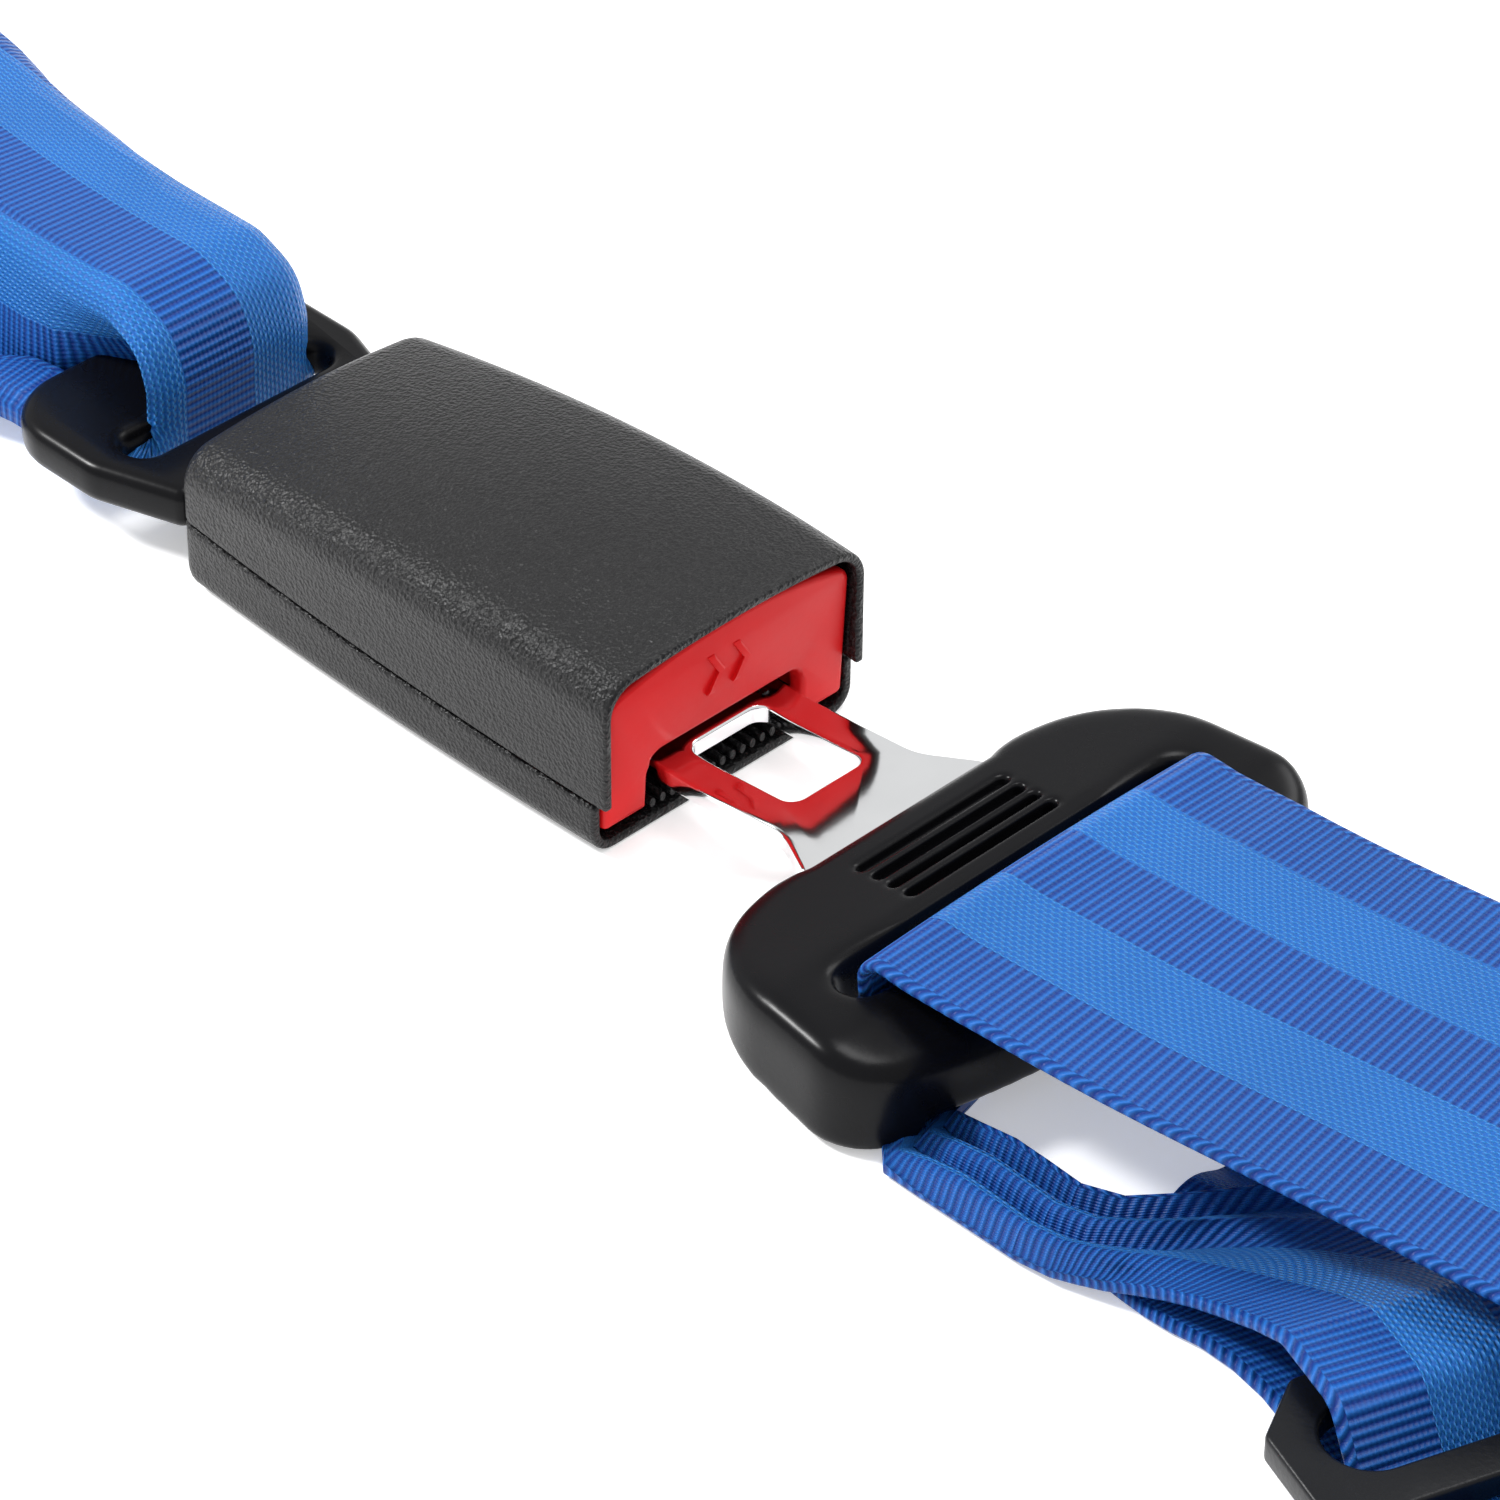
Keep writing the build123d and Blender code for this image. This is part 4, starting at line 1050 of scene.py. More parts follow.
def tie_band(work: EditMesh, place: Matrix, inner: float, high: float, wide: float = 14.0,
             thick: float = 1.1) -> float:
    """Add one band round a stack.

    Args:
        work: The mesh that takes it.
        place: Its place and turn, in metres.
        inner: Clear width inside.
        high: Height of the stack.
        wide: Width of the band.
        thick: Its thickness.

    Returns:
        The band's length in millimetres.
    """
    half = inner / 2 + thick / 2 + 0.1
    low, top = thick / 2 + 0.02, 1.2 + high + thick / 2 + 0.12
    loop = round_corners([(-half, low), (half, low), (half, top), (-half, top)], [1.4] * 4, 18.0)
    loop.append(loop[0])
    flap = [(half + 0.55, top - 5.0), (half + 0.6, top - 1.0),
            (half - 1.2, top + 0.75), (half - 20.0, top + 0.7)]
    total = 0.0
    for line, bulk in ((loop, thick), (flap, 0.6)):
        points = np.array(line)
        run = np.linalg.norm(np.diff(points, axis=0), axis=1).sum()
        total += run
        tangents = np.gradient(points, axis=0)
        if bulk == thick:
            tangents[0] = tangents[-1] = points[1] - points[-2]
        tangents /= np.linalg.norm(tangents, axis=1)[:, None]
        normals = np.stack([tangents[:, 1], -tangents[:, 0]], 1) * bulk / 2
        rims = []
        for x, scale in ((-wide / 2, 0.55), (-wide / 2 + 0.4, 1.0), (wide / 2 - 0.4, 1.0), (wide / 2, 0.55)):
            for sign in (1, -1):
                rims.append((x, scale * sign))
        order = [0, 2, 4, 6, 7, 5, 3, 1]
        rows = []
        for point, normal in zip(points, normals):
            row = []
            for k in order:
                x, s = rims[k]
                y, z = point + normal * s
                row.append(work.verts.new(place @ Vector((x * MM, y * MM, z * MM))))
            rows.append(row)
        for first, second in zip(rows, rows[1:]):
            for k in range(8):
                work.faces.new((first[k], first[(k + 1) % 8], second[(k + 1) % 8], second[k]))
        if bulk != thick:
            work.faces.new(rows[0][::-1])
            work.faces.new(rows[-1])
    return total


# ---------------------------------------------------------------- what repeats
@dataclass
class StitchRow:
    """Short raised stitches along seam lines, made by a Geometry Nodes tree."""

    pitch: float = 2.6
    length: float = 2.1
    bulk: float = 0.34

    def tree(self) -> Tree:
        """Build the stitch tree with its named inputs and return it."""
        tree = socket_group(
            "seam stitches", "GeometryNodeTree",
            [("Geometry", "NodeSocketGeometry", None), ("Pitch", "NodeSocketFloat", 0.0026),
             ("Stitch length", "NodeSocketFloat", 0.0021), ("Thread radius", "NodeSocketFloat", 0.0003),
             ("Finish", "NodeSocketMaterial", None)],
            [("Geometry", "NodeSocketGeometry")])
        g = Graph(tree)
        ins = g.add("NodeGroupInput").outputs
        spread = g.add("GeometryNodeResampleCurve", {"Curve": ins["Geometry"]}, mode="LENGTH")
        g.put(spread.inputs["Length"], ins["Pitch"])
        tangent = g.add("GeometryNodeInputTangent").outputs[0]
        turn = g.add("FunctionNodeAlignRotationToVector", {"Vector": tangent}, axis="Z").outputs[0]
        bead = g.add("GeometryNodeMeshUVSphere", {"Segments": 6, "Rings": 5, "Radius": ins["Thread radius"]})
        stretch = g.math("DIVIDE", g.math("MULTIPLY", ins["Stitch length"], 0.5), ins["Thread radius"])
        size = g.add("ShaderNodeCombineXYZ", {0: 1.0, 1: 1.0, 2: stretch}).outputs[0]
        long_bead = g.add("GeometryNodeTransform", {"Geometry": bead.outputs[0], "Scale": size}).outputs[0]
        many = g.add("GeometryNodeInstanceOnPoints", {"Points": spread.outputs[0], "Instance": long_bead,
                                                      "Rotation": turn}).outputs[0]
        g.realized(many, ins["Finish"])
        return tree

    def sew(self, name: str, paths: Iterable[Sequence[Vector]], material: Material) -> Piece:
        """Stitch along lines given in millimetres.

        Args:
            name: The piece's name.
            paths: Lines of points.
            material: The thread's finish.

        Returns:
            The piece as a plain mesh.
        """
        curve = bpy.data.curves.new(name, "CURVE")
        curve.dimensions = "3D"
        for line in paths:
            spline = curve.splines.new("POLY")
            spline.points.add(len(line) - 1)
            for point, place in zip(spline.points, line):
                point.co = (*(place * MM), 1)
        values = {"Pitch": self.pitch * MM, "Stitch length": self.length * MM,
                  "Thread radius": self.bulk * MM, "Finish": material}
        return grown(name, curve, self.tree(), values, material)


def grown(name: str, data: bpy.types.ID, tree: Tree, values: dict,
          material: Material) -> Piece:
    """Run a Geometry Nodes tree once and keep its result as a plain mesh.

    Args:
        name: The piece's name.
        data: The curve or mesh that the tree starts from.
        tree: The tree.
        values: Its inputs by name.
        material: The finish.

    Returns:
        The piece.
    """
    holder = bpy.data.objects.new(name + "_maker", data)
    bpy.context.scene.collection.objects.link(holder)
    modifier = holder.modifiers.new("maker", "NODES")
    modifier.node_group = tree
    for item in tree.interface.items_tree:
        if item.item_type == "SOCKET" and item.in_out == "INPUT" and item.name in values:
            modifier[item.identifier] = values[item.name]
    graph = bpy.context.evaluated_depsgraph_get()
    graph.update()
    mesh = bpy.data.meshes.new_from_object(holder.evaluated_get(graph))
    bpy.data.objects.remove(holder)
    mesh.name = name
    return as_piece(name, mesh, material, 60.0)


@dataclass
class GripRibs:
    """A row of small ribs on the lower cover's lip, made by a Geometry Nodes tree."""

    count: int = 15
    pitch: float = 1.5
    size: tuple[float, float, float] = (6.0, 0.8, 1.2)
    middle: tuple[float, float, float] = (29.9, 0.0, 2.55)

    def tree(self) -> Tree:
        """Build the rib tree with its named inputs and return it."""
        tree = socket_group(
            "lip ribs", "GeometryNodeTree",
            [("Geometry", "NodeSocketGeometry", None), ("Count", "NodeSocketInt", 15),
             ("Pitch", "NodeSocketFloat", 0.0015), ("Size", "NodeSocketVector", (0.006, 0.0008, 0.0012)),
             ("Middle", "NodeSocketVector", (0, 0, 0)),
             ("Finish", "NodeSocketMaterial", None)],
            [("Geometry", "NodeSocketGeometry")])
        g = Graph(tree)
        ins = g.add("NodeGroupInput").outputs
        gaps = g.math("SUBTRACT", ins["Count"], 1.0)
        first = g.math("MULTIPLY", gaps, g.math("MULTIPLY", ins["Pitch"], -0.5))
        aside = g.add("ShaderNodeCombineXYZ", {1: first}).outputs[0]
        start = g.add("ShaderNodeVectorMath", {0: ins["Middle"], 1: aside}, operation="ADD").outputs[0]
        offset = g.add("ShaderNodeCombineXYZ", {1: ins["Pitch"]}).outputs[0]
        line = g.add("GeometryNodeMeshLine", {"Count": ins["Count"], "Start Location": start,
                                              "Offset": offset}).outputs[0]
        bar = g.add("GeometryNodeMeshCylinder", {"Vertices": 12, "Radius": 0.5, "Depth": 1.0}).outputs[0]
        level = (0.0, math.pi / 2, 0.0)
        turn = g.add("GeometryNodeTransform", {"Geometry": bar, "Rotation": level}).outputs[0]
        sized = g.add("GeometryNodeTransform", {"Geometry": turn, "Scale": ins["Size"]}).outputs[0]
        many = g.add("GeometryNodeInstanceOnPoints", {"Points": line, "Instance": sized}).outputs[0]
        g.realized(many, ins["Finish"])
        return tree

    def make(self, material: Material) -> Piece:
        """Grow the ribs as a plain mesh."""
        values = {"Count": self.count, "Pitch": self.pitch * MM, "Size": tuple(v * MM for v in self.size),
                  "Middle": tuple(v * MM for v in self.middle), "Finish": material}
        return grown("lip_ribs", bpy.data.meshes.new("lip_seed"), self.tree(), values, material)


# ---------------------------------------------------------------- buckle
@dataclass
class BuckleCovers:
    """The two moulded half shells of the buckle."""

    half_length: float = 35.0
    front_w: float = 38.8
    rear_w: float = 37.0
    front_h: float = 23.8
    rear_h: float = 19.0
    crown: float = 1.2
    top_r: float = 4.6
    bottom_r: float = 3.0
    end_r: float = 2.4
    wall: float = 1.15
    part_front: float = 6.8
    part_rear: float = 9.2
    groove: float = 0.2
    belly_side: float = 0.7
    belly_top: float = 0.8

    def sizes(self, x: float) -> tuple[float, float]:
        """Half width and height of the body at x."""
        t = (x + self.half_length) / (2 * self.half_length)
        half = (self.rear_w + (self.front_w - self.rear_w) * (1 - (1 - t) ** 2)) / 2
        belly = 4 * t * (1 - t)
        top = self.rear_h + (self.front_h - self.rear_h) * (1 - (1 - t) ** 1.6)
        return half + self.belly_side * belly, top + self.belly_top * belly

    def parting(self, x: float) -> float:
        """Height of the joint between the covers at x."""
        t = (x + self.half_length) / (2 * self.half_length)
        return self.part_rear + (self.part_front - self.part_rear) * t

    def upper_row(self, x: float, inset: float) -> list[Point2]:
        """Half shell outline from one side over the top to the other, as (y, z)."""
        half, top = self.sizes(x)
        half, top, r = half - inset, top - inset, self.top_r - inset * 0.6
        lean = 2 * self.crown * (half - r) / half ** 2
        y_end = half - r + r * math.sin(lean)
        zc = top - self.crown * (y_end / half) ** 2 - r * math.cos(lean)
        low = self.parting(x) + self.groove
        side = [(half, low + (zc - low) * k / 5) for k in range(5)]
        turns = np.linspace(0, math.pi / 2 - lean, 13)
        arc = [(half - r + r * math.cos(a), zc + r * math.sin(a)) for a in turns]
        across = [(y, top - self.crown * (y / half) ** 2) for y in np.linspace(y_end, 0, 7)[1:]]
        right = side + arc + across
        return right + [(-y, z) for y, z in right[-2::-1]]

    def lower_row(self, x: float, inset: float) -> list[Point2]:
        """Lower shell outline from one side under the floor to the other, as (y, z)."""
        half, _ = self.sizes(x)
        half, r = half - inset, self.bottom_r - inset * 0.5
        high = self.parting(x) - self.groove
        side = [(half, high + (inset + r - high) * k / 4) for k in range(4)]
        turns = np.linspace(0, math.pi / 2, 9)
        arc = [(half - r + r * math.cos(a), inset + r - r * math.sin(a)) for a in turns]
        across = [(y, inset) for y in np.linspace(half - r, 0, 5)[1:]]
        right = side + arc + across
        return right + [(-y, z) for y, z in right[-2::-1]]

    def shell(self, name: str, row: Callable[[float, float], list[Point2]], x_end: float,
              material: Material) -> Piece:
        """Skin one half shell and give it its wall and rounded rims.

        Args:
            name: The piece's name.
            row: The outline at a place with an inset.
            x_end: Where the shell's open front lies.
            material: The finish.

        Returns:
            The piece.
        """
        rows = []
        for a in np.linspace(0, math.pi / 2, 7):
            x = -self.half_length + self.end_r * (1 - math.sin(a))
            inset = self.end_r * (1 - math.cos(a))
            rows.append((x, row(x, inset)))
        rows = rows[::-1]
        for x in np.linspace(-self.half_length + self.end_r, x_end, 34)[1:]:
            rows.append((float(x), row(float(x), 0.0)))
        work = bmesh.new()
        grid = [[work.verts.new((x * MM, y * MM, z * MM)) for y, z in line] for x, line in rows]
        for a, b in zip(grid, grid[1:]):
            for k in range(len(a) - 1):
                work.faces.new((a[k], a[k + 1], b[k + 1], b[k]))
        work.faces.new(grid[0])
        bmesh.ops.recalc_face_normals(work, faces=work.faces)
        middle = Vector((0, 0, 0.009))
        outside = sum(1 if f.normal.dot(f.calc_center_median() - middle) > 0 else -1 for f in work.faces)
        if outside < 0:
            bmesh.ops.reverse_faces(work, faces=work.faces)
        mesh = bpy.data.meshes.new(name)
        work.to_mesh(mesh)
        work.free()
        piece = as_piece(name, mesh, material, 40.0)
        thicken = piece.modifiers.new("wall", "SOLIDIFY")
        thicken.thickness = self.wall * MM
        thicken.offset = -1.0
        thicken.use_even_offset = True
        bevel = piece.modifiers.new("rims", "BEVEL")
        bevel.width = 0.38 * MM
        bevel.segments = 3
        bevel.angle_limit = math.radians(55)
        baked(piece)
        piece.data.shade_smooth()
        piece.data.set_sharp_from_angle(angle=math.radians(40))
        return piece

    def build(self, finishes: Finishes) -> None:
        """Make both covers and the ribs on the lower one's lip."""
        upper = self.shell("buckle_top_shell", self.upper_row, self.half_length, finishes.cover)
        dress(upper, Body.BUCKLE, Slot.COVER, "upper_cover")
        lower = self.shell("buckle_bottom_shell", self.lower_row, self.half_length - 1.8, finishes.cover)
        dress(lower, Body.BUCKLE, Slot.COVER, "lower_cover")
        dress(GripRibs().make(finishes.cover), Body.BUCKLE, Slot.COVER)
        self.rear_plate(finishes)

    def rear_plate(self, finishes: Finishes) -> None:
        """The slotted plate behind the covers that holds the left webbing."""
        x_in, x_out, wide = -36.4, -66.0, 20.3
        corners = [(x_in, wide - 4), (x_in - 12, wide), (x_out, wide),
                   (x_out, -wide), (x_in - 12, -wide), (x_in, 4 - wide)]
        outline = round_corners(corners, [2, 8, 9, 9, 8, 2], 5.0)
        mesh = FlatPlate(outline, [slot_outline(-50.6, -45.4, 29.6)]).mesh("rear_webbing_plate", 5.2, 1.7)
        mesh.transform(Matrix.Translation((0, 0, 7.6 * MM)))
        dress(as_piece(mesh.name, mesh, finishes.handle), Body.BUCKLE, Slot.COVER, "rear_plate_cover")


@dataclass
class PushButton:
    """The red release button: an arched face over a wide mouth, with a skirt behind it."""

    face_x: float = 34.2
    depth: float = 3.2
    skirt_x: float = 17.0
    half: float = 17.95
    shoulder: float = 19.6
    top: float = 22.35
    low: float = 2.6
    mouth: float = 11.6
    mouth_top: float = 9.0
    mouth_r: float = 2.2
    cove: float = 0.6
    lean: float = 1.0

    def outline(self, inset: float) -> list[Point2]:
        """The button's outline across the buckle, as (y, z), with the mouth cut from below."""
        half, top = self.half - inset, self.top - inset
        arch = [(y, top - (self.top - self.shoulder) * (y / half) ** 2) for y in np.linspace(half, -half, 15)]
        corners = [(half, self.low)] + arch + [(-half, self.low), (-self.mouth, self.low),
                                               (-self.mouth, self.mouth_top), (self.mouth, self.mouth_top),
                                               (self.mouth, self.low)]
        radii = [0.8, 2.0] + [0.0] * 13 + [2.0, 0.8, 0.5, self.mouth_r, self.mouth_r, 0.5]
        return round_corners(corners, radii)

    def block(self, name: str, x0: float, x1: float, rim: float) -> Mesh:
        """The outline as a bevelled block between two X values."""
        mesh = FlatPlate(self.outline(0.0)).mesh(name, x1 - x0, rim)
        mesh.transform(Matrix(((0, 0, 1, (x0 + x1) / 2 * MM), (1, 0, 0, 0), (0, 1, 0, 0), (0, 0, 0, 1))))
        return mesh

    def chevrons(self, work: EditMesh) -> None:
        """Two plain raised chevrons that show which way to press."""
        for y in (-1.9, 1.9):
            z, high = 16.2, 2.5
            arrow = [(y - 1.6, z - high), (y, z), (y - 1.6, z + high),
                     (y - 0.6, z + high), (y + 1.0, z), (y - 0.6, z - high)]
            rows = []
            for x, shrink in ((self.face_x - 0.3, 1.0), (self.face_x + 0.22, 1.0), (self.face_x + 0.38, 0.8)):
                lean = self.lean_at(z)
                rows.append([work.verts.new(((x - lean) * MM, (y - 0.3 + (a - y + 0.3) * shrink) * MM,
                                             (z + (b - z) * shrink) * MM)) for a, b in arrow])
            for a, b in zip(rows, rows[1:]):
                for k in range(6):
                    work.faces.new((a[k], a[(k + 1) % 6], b[(k + 1) % 6], b[k]))
            work.faces.new(rows[0][::-1])
            work.faces.new(rows[-1])

    def skirt(self, work: EditMesh) -> None:
        """The thin wall behind the face: an inverted U that slides inside the covers."""
        arch = [p for p in self.outline(0.7) if abs(p[0]) > self.mouth + 1.5 or p[1] > self.mouth_top + 4]
        thin = [(y * (1 - 2.0 / self.half), z - 1.9 if z > 12 else z) for y, z in arch]
        rows = []
        for x in (self.skirt_x, self.face_x - self.depth + 0.3):
            rows.append(([work.verts.new((x * MM, y * MM, z * MM)) for y, z in arch],
                         [work.verts.new((x * MM, y * MM, z * MM)) for y, z in thin]))
        (back_out, back_in), (front_out, front_in) = rows
        for k in range(len(arch) - 1):
            work.faces.new((back_out[k], back_out[k + 1], front_out[k + 1], front_out[k]))
            work.faces.new((back_in[k + 1], back_in[k], front_in[k], front_in[k + 1]))
            work.faces.new((back_out[k + 1], back_out[k], back_in[k], back_in[k + 1]))
            work.faces.new((front_out[k], front_out[k + 1], front_in[k + 1], front_in[k]))
        for k in (0, -1):
            work.faces.new((back_out[k], front_out[k], front_in[k], back_in[k]))

    def lean_at(self, z: float) -> float:
        """How far the face lies back at a height."""
        return self.lean * max(0.0, (self.top - z) / (self.top - self.low))

    def build(self, finishes: Finishes) -> None:
        """Make the button."""
        face = self.block("press_button_face", self.face_x - self.depth, self.face_x, 0.7)
        work = bmesh.new()
        work.from_mesh(face)
        for vert in work.verts:
            if vert.co.x > (self.face_x - self.depth / 2) * MM:
                vert.co.x -= self.lean_at(vert.co.z / MM) * MM
                above = vert.co.z / MM - self.mouth_top
                if abs(vert.co.y) < self.mouth * MM and -2.5 < above < 1.2:
                    vert.co.z += self.cove * MM * float(smooth_step((above + 2.5) / 2.2))
        self.chevrons(work)
        self.skirt(work)
        mesh = bpy.data.meshes.new("press_button")
        bmesh.ops.recalc_face_normals(work, faces=work.faces)
        work.to_mesh(mesh)
        work.free()
        piece = as_piece("press_button", mesh, finishes.button, 30.0)
        dress(piece, Body.BUTTON, Slot.BUTTON, "release_button")


@dataclass
class Tongue:
    """The plated steel tongue with its latch window."""

    thick: float = 2.4
    low: float = 5.15
    bend_x: float = 37.0
    rise: float = 2.4
    rise_end: float = 62.0
    cuts: int = 12

    def rise_at(self, x: float) -> float:
        """How far the sheet has risen at x, with a soft start and end."""
        t = (x - self.bend_x) / (self.rise_end - self.bend_x)
        ease = 0.06
        if t <= -ease:
            return 0.0
        if t < ease:
            return self.rise * (t + ease) ** 2 / (4 * ease)
        return self.rise * min(t, 1.0)

    def build(self, finishes: Finishes) -> None:
        """Make the tongue."""
        neck, flare = 10.0, 13.5
        outline = [(25, neck), (52, neck), (58.5, flare), (64, flare), (70, 31), (87.5, 31)]
        corners = [(x, -y) for x, y in outline] + outline[::-1]
        radii = [2.5, 7, 3, 0, 3, 3, 3, 3, 0, 3, 7, 2.5]
        window = round_corners([(33, -5.6), (49, -5.6), (49, 5.6), (33, 5.6)], [1.8] * 4)
        slot = slot_outline(73.0, 80.6, 55.4)
        mesh = FlatPlate(round_corners(corners, radii), [window, slot]).mesh("latch_tongue", self.thick, 0.42)
        with edited(mesh) as work:
            for x in list(np.linspace(self.bend_x - 1.6, self.bend_x + 1.6, self.cuts)) + [self.rise_end]:
                bmesh.ops.bisect_plane(work, geom=work.verts[:] + work.edges[:] + work.faces[:],
                                       plane_co=(x * MM, 0, 0), plane_no=(1, 0, 0), dist=1e-8)
            for vert in work.verts:
                vert.co.z += (self.low + self.thick / 2 + self.rise_at(vert.co.x / MM)) * MM
        dress(as_piece("latch_tongue", mesh, finishes.chrome, 30.0), Body.TONGUE, Slot.TONGUE, "tongue_plate")


def handle_softness(place: Vector) -> float:
    """How freely a point of the handle is rounded: little round its grip slots, fully at its ends."""
    x, y = place.x / MM, abs(place.y) / MM
    return float(max(0.03, smooth_step((y - 14.0) / 8.0), smooth_step((x - 84.0) / 4.0)))


def soft_copy(node: Piece, name: str, voxel: float, passes: int, weight: Callable[[Vector], float],
              material: Material) -> Piece:
    """A copy of a CAD piece with every edge softly moulded.

    Args:
        node: The CAD object.
        name: The new piece's name.
        voxel: Voxel size of the remesh, in millimetres.
        passes: Smoothing passes.
        weight: How freely each place is smoothed, from 0 to 1.
        material: The finish.

    Returns:
        The piece.
    """
    mesh = node.data.copy()
    mesh.name = name
    with edited(mesh) as work:
        bmesh.ops.remove_doubles(work, verts=work.verts, dist=1e-6)
    piece = as_piece(name, mesh, material)
    remesh = piece.modifiers.new("voxels", "REMESH")
    remesh.mode = "VOXEL"
    remesh.voxel_size = voxel * MM
    baked(piece)
    group = piece.vertex_groups.new(name="soft")
    for vert in piece.data.vertices:
        group.add([vert.index], weight(vert.co), "REPLACE")
    smooth = piece.modifiers.new("soften", "SMOOTH")
    smooth.factor = 0.5
    smooth.iterations = passes
    smooth.vertex_group = group.name
    baked(piece)
    piece.vertex_groups.clear()
    piece.data.materials.clear()
    piece.data.materials.append(material)
    piece.data.shade_smooth()
    return piece


def dress_cad(frame: dict, finishes: Finishes) -> None:
    """Give every CAD node that stays its finish."""
    looks = {"cover_screws": finishes.spring, "buckle_frame": finishes.steel, "latch_pin": finishes.steel,
             "rear_slot_plate": finishes.steel, "frame_rivets": finishes.steel,
             "ejector_springs": finishes.spring, "button_springs": finishes.spring,
             "latch_spring": finishes.spring,
             "latch": finishes.steel, "ejector": finishes.slider}
    for name, node in frame["nodes"].items():
        if name in looks:
            for slot in node.material_slots:
                slot.material = looks[name]


@dataclass
class Studio:
    """Floor, lights and camera."""

    target: tuple[float, float, float] = (41.0, -4.0, 10.6)
    distance: float = 656.0
    azimuth: float = 45.0
    elevation: float = 37.6
    roll: float = 0.5
    lens: float = 148.96

    def floor(self) -> None:
        """A wide pale floor."""
        material, g, shader = blank_material("floor paper")
        place = g.add("ShaderNodeTexCoord").outputs["Object"]
        mottle = g.add("ShaderNodeTexNoise", {"Vector": place, "Scale": 3.0}).outputs[0]
        g.put(shader.inputs["Base Color"], g.blend(mottle, (0.90, 0.90, 0.90, 1), (0.93, 0.93, 0.93, 1)))
        shader.inputs["Roughness"].default_value = 0.9
        shader.inputs["Specular IOR Level"].default_value = 0.05
        shader.inputs["Emission Color"].default_value = (1, 1, 1, 1)
        shader.inputs["Emission Strength"].default_value = 0.36
        mesh = bpy.data.meshes.new("floor_paper")
        reach = 9.0  # metres, past every view
        corners = [(-reach, -reach, 0), (reach, -reach, 0), (reach, reach, 0), (-reach, reach, 0)]
        mesh.from_pydata(corners, [], [(0, 1, 2, 3)])
        piece = as_piece("floor_paper", mesh, material)

    def light(self, name: str, place: Sequence[float], size: Sequence[float], power: float,
              colour: Sequence[float] = (1, 1, 1)) -> None:
        """One soft rectangular light that points at the buckle.

        Args:
            name: Its name.
            place: Its place in metres.
            size: Its sides in metres.
            power: Its power in watts.
            colour: Its colour.
        """
        data = bpy.data.lights.new(name, "AREA")
        data.shape = "RECTANGLE"
        data.size, data.size_y = size
        data.energy = power
        data.color = colour
        lamp = bpy.data.objects.new(name, data)
        lamp.location = place
        aim = Vector(self.target) * MM - Vector(place)
        lamp.rotation_euler = aim.to_track_quat("-Z", "Y").to_euler()
        bpy.context.scene.collection.objects.link(lamp)

    def camera(self) -> None:
        """Set the camera at the object's three-quarter view."""
        az, el = math.radians(self.azimuth), math.radians(self.elevation)
        back = Vector((math.sin(az) * math.cos(el), -math.cos(az) * math.cos(el), math.sin(el)))
        data = bpy.data.cameras.new("camera")
        data.lens = self.lens
        data.sensor_width = 36.0
        data.clip_start, data.clip_end = 0.05, 50.0
        camera = bpy.data.objects.new("camera", data)
        right = Vector((0, 0, 1)).cross(back).normalized()
        up = back.cross(right)
        turn = Matrix((right, up, back)).transposed() @ Matrix.Rotation(math.radians(self.roll), 3, "Z")
        place = Matrix.Translation((Vector(self.target) + back * self.distance) * MM)
        camera.matrix_world = place @ turn.to_4x4()
        bpy.context.scene.collection.objects.link(camera)
        bpy.context.scene.camera = camera

    def build(self) -> None:
        """Set the stage."""
        self.floor()
        self.camera()
        world = bpy.data.worlds.new("room")
        bpy.context.scene.world = world
        world.use_nodes = True
        world.node_tree.nodes["Background"].inputs[0].default_value = (1.0, 1.0, 1.0, 1)
        world.node_tree.nodes["Background"].inputs[1].default_value = 0.74
        self.light("key_soft_box", (-0.80, -0.55, 0.95), (0.22, 0.22), 18.0)
        self.light("top_soft_box", (0.1, 0.3, 1.3), (0.5, 0.4), 7.0)
        self.light("rim_soft_box", (0.3, 1.1, 0.8), (0.9, 0.4), 6.0)
        scene = bpy.context.scene
        scene.view_settings.view_transform = "Standard"
        scene.view_settings.look = "None"


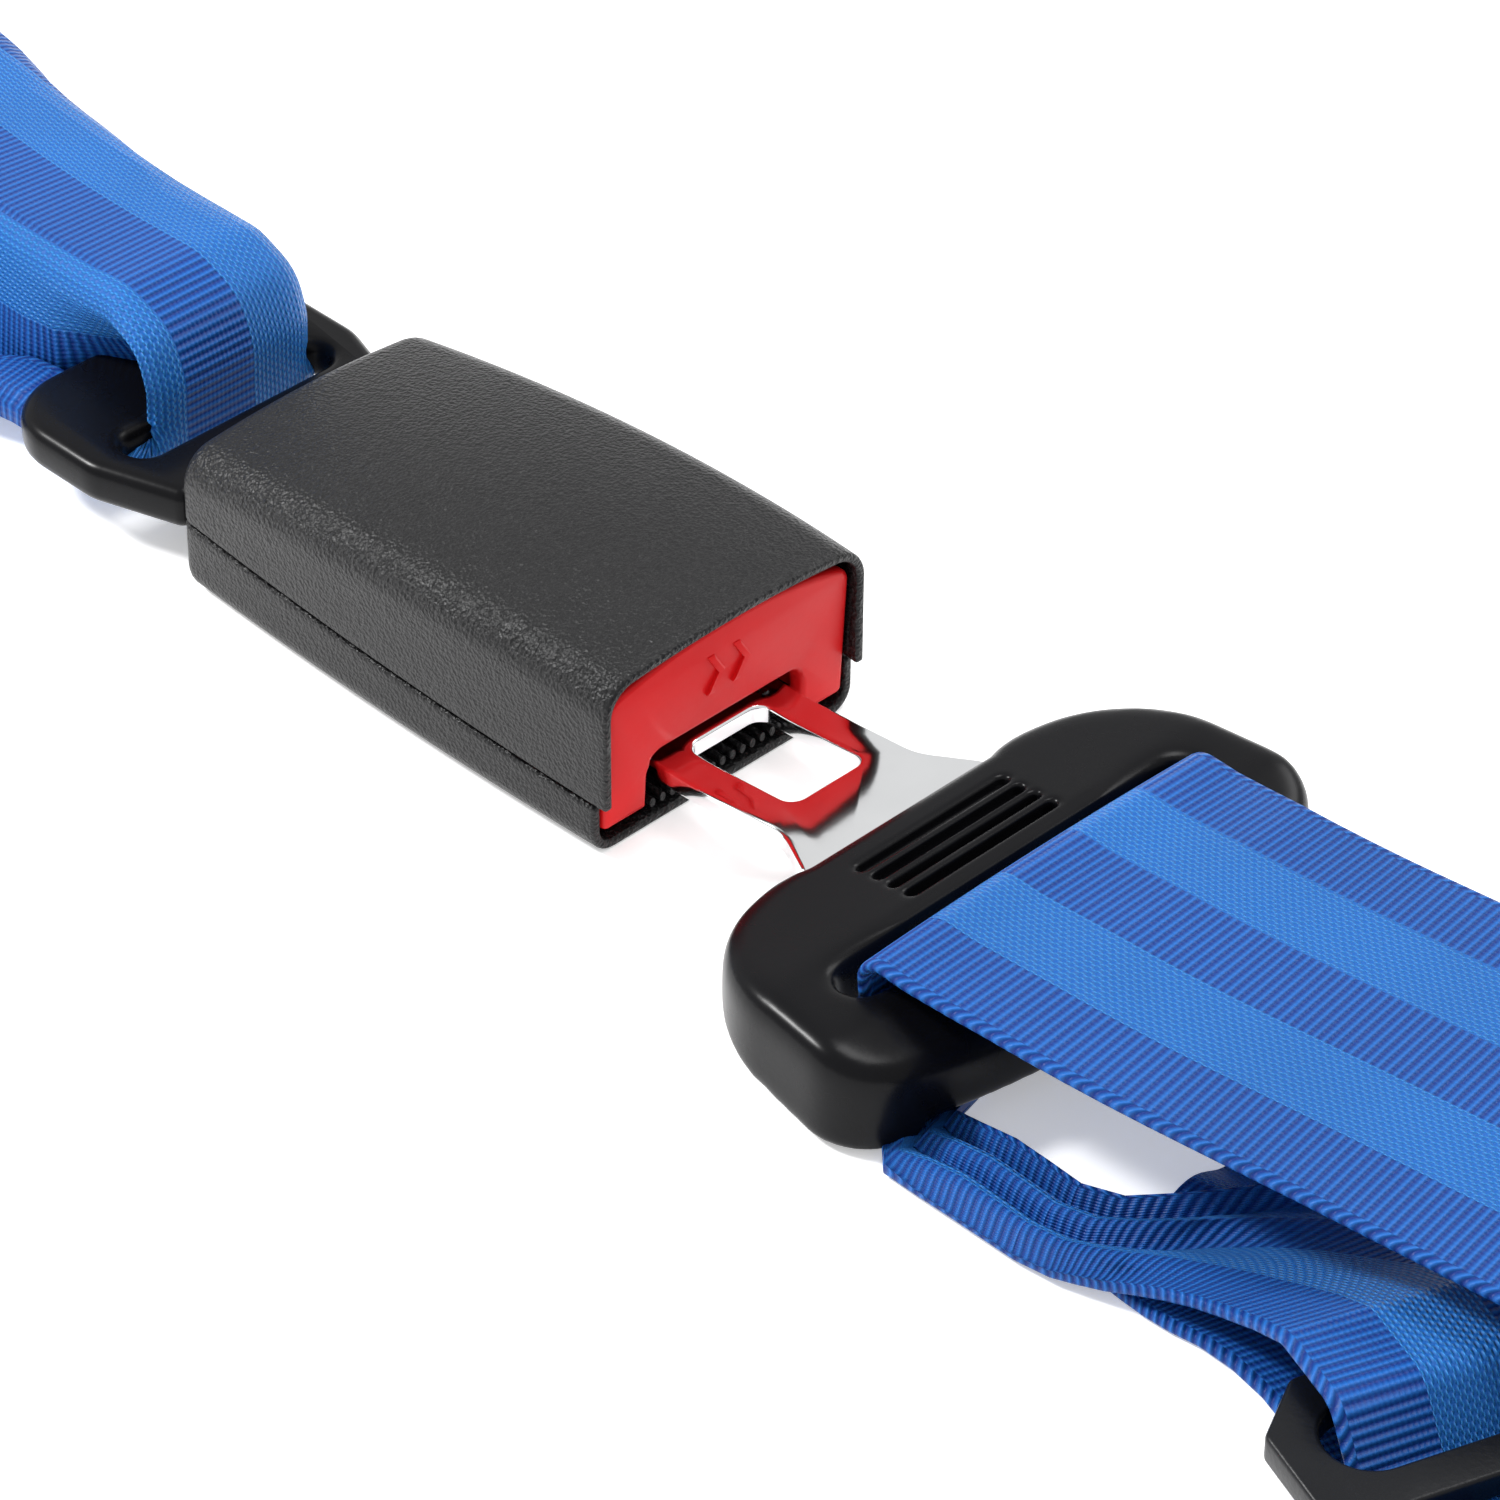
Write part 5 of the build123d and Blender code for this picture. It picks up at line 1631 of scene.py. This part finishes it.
def strap_sides() -> tuple[StrapSide, StrapSide]:
    """The harness's two sides with the shapes that their webbing takes."""
    right = StrapSide(
        "right", Body.TONGUE, 1, 100.0, 126.0, 43.0, 0.0,
        start=[(78.0, 7.0), (77.0, 16.2), (84.0, 15.9), (94.0, 16.4)],
        lap_start=[(78.0, 7.0), (78.4, 0.72), (108.0, 0.72), (122.0, 2.0), (140.0, 5.2)],
        shoulder_z=16.6, radius=3.0, tail_start=14.0,
        lap_extra={"gather": [(80.0, 0.0), (91.0, 1.0), (108.0, 1.0), (150.0, 0.0)]})
    left = StrapSide(
        "left", Body.BUCKLE, -1, 78.0, 92.0, 62.0, 30.0,
        start=[(49.6, 9.0), (49.4, 14.0), (51.2, 19.8), (58.0, 22.4), (88.0, 21.4)],
        lap_start=[(49.6, 9.0), (49.6, 3.9), (67.0, 3.8), (80.0, 2.4), (104.0, 2.4)],
        shoulder_z=20.6, radius=7.0,
        shoulder_extra={
            "far_tuck": [(51.0, 17.5), (64.0, 19.5), (90.0, 21.0), (120.0, 16.0), (165.0, 0.0)],
            "near_tuck": [(51.0, 12.5), (70.0, 12.5), (96.0, 11.5), (122.0, 8.5), (155.0, 0.0)],
            "far_turn": [(51.0, 172.0), (60.0, 124.0), (72.0, 84.0), (110.0, 74.0), (160.0, 20.0)],
            "far_r": [(51.0, 1.1), (70.0, 2.2)], "near_r": [(51.0, 1.7), (70.0, 2.4)]},
        lap_extra={"near_tuck": [(70.0, 11.0), (96.0, 0.0)], "far_tuck": [(70.0, 11.0), (96.0, 0.0)]})
    return right, left


def main() -> None:
    """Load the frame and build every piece."""
    logging.basicConfig(level=logging.INFO, format="%(message)s")
    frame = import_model()
    Studio().build()
    finishes = Finishes()
    dress_cad(frame, finishes)
    for side in strap_sides():
        side.build(finishes)
    BuckleCovers().build(finishes)
    PushButton().build(finishes)
    Tongue().build(finishes)
    handle = soft_copy(frame["nodes"]["tongue_handle"], "moulded_handle", HANDLE_VOXEL, HANDLE_PASSES,
                       handle_softness, finishes.handle)
    dress(handle, Body.TONGUE, Slot.HANDLE, "tongue_handle")


if __name__ == "__main__":
    main()
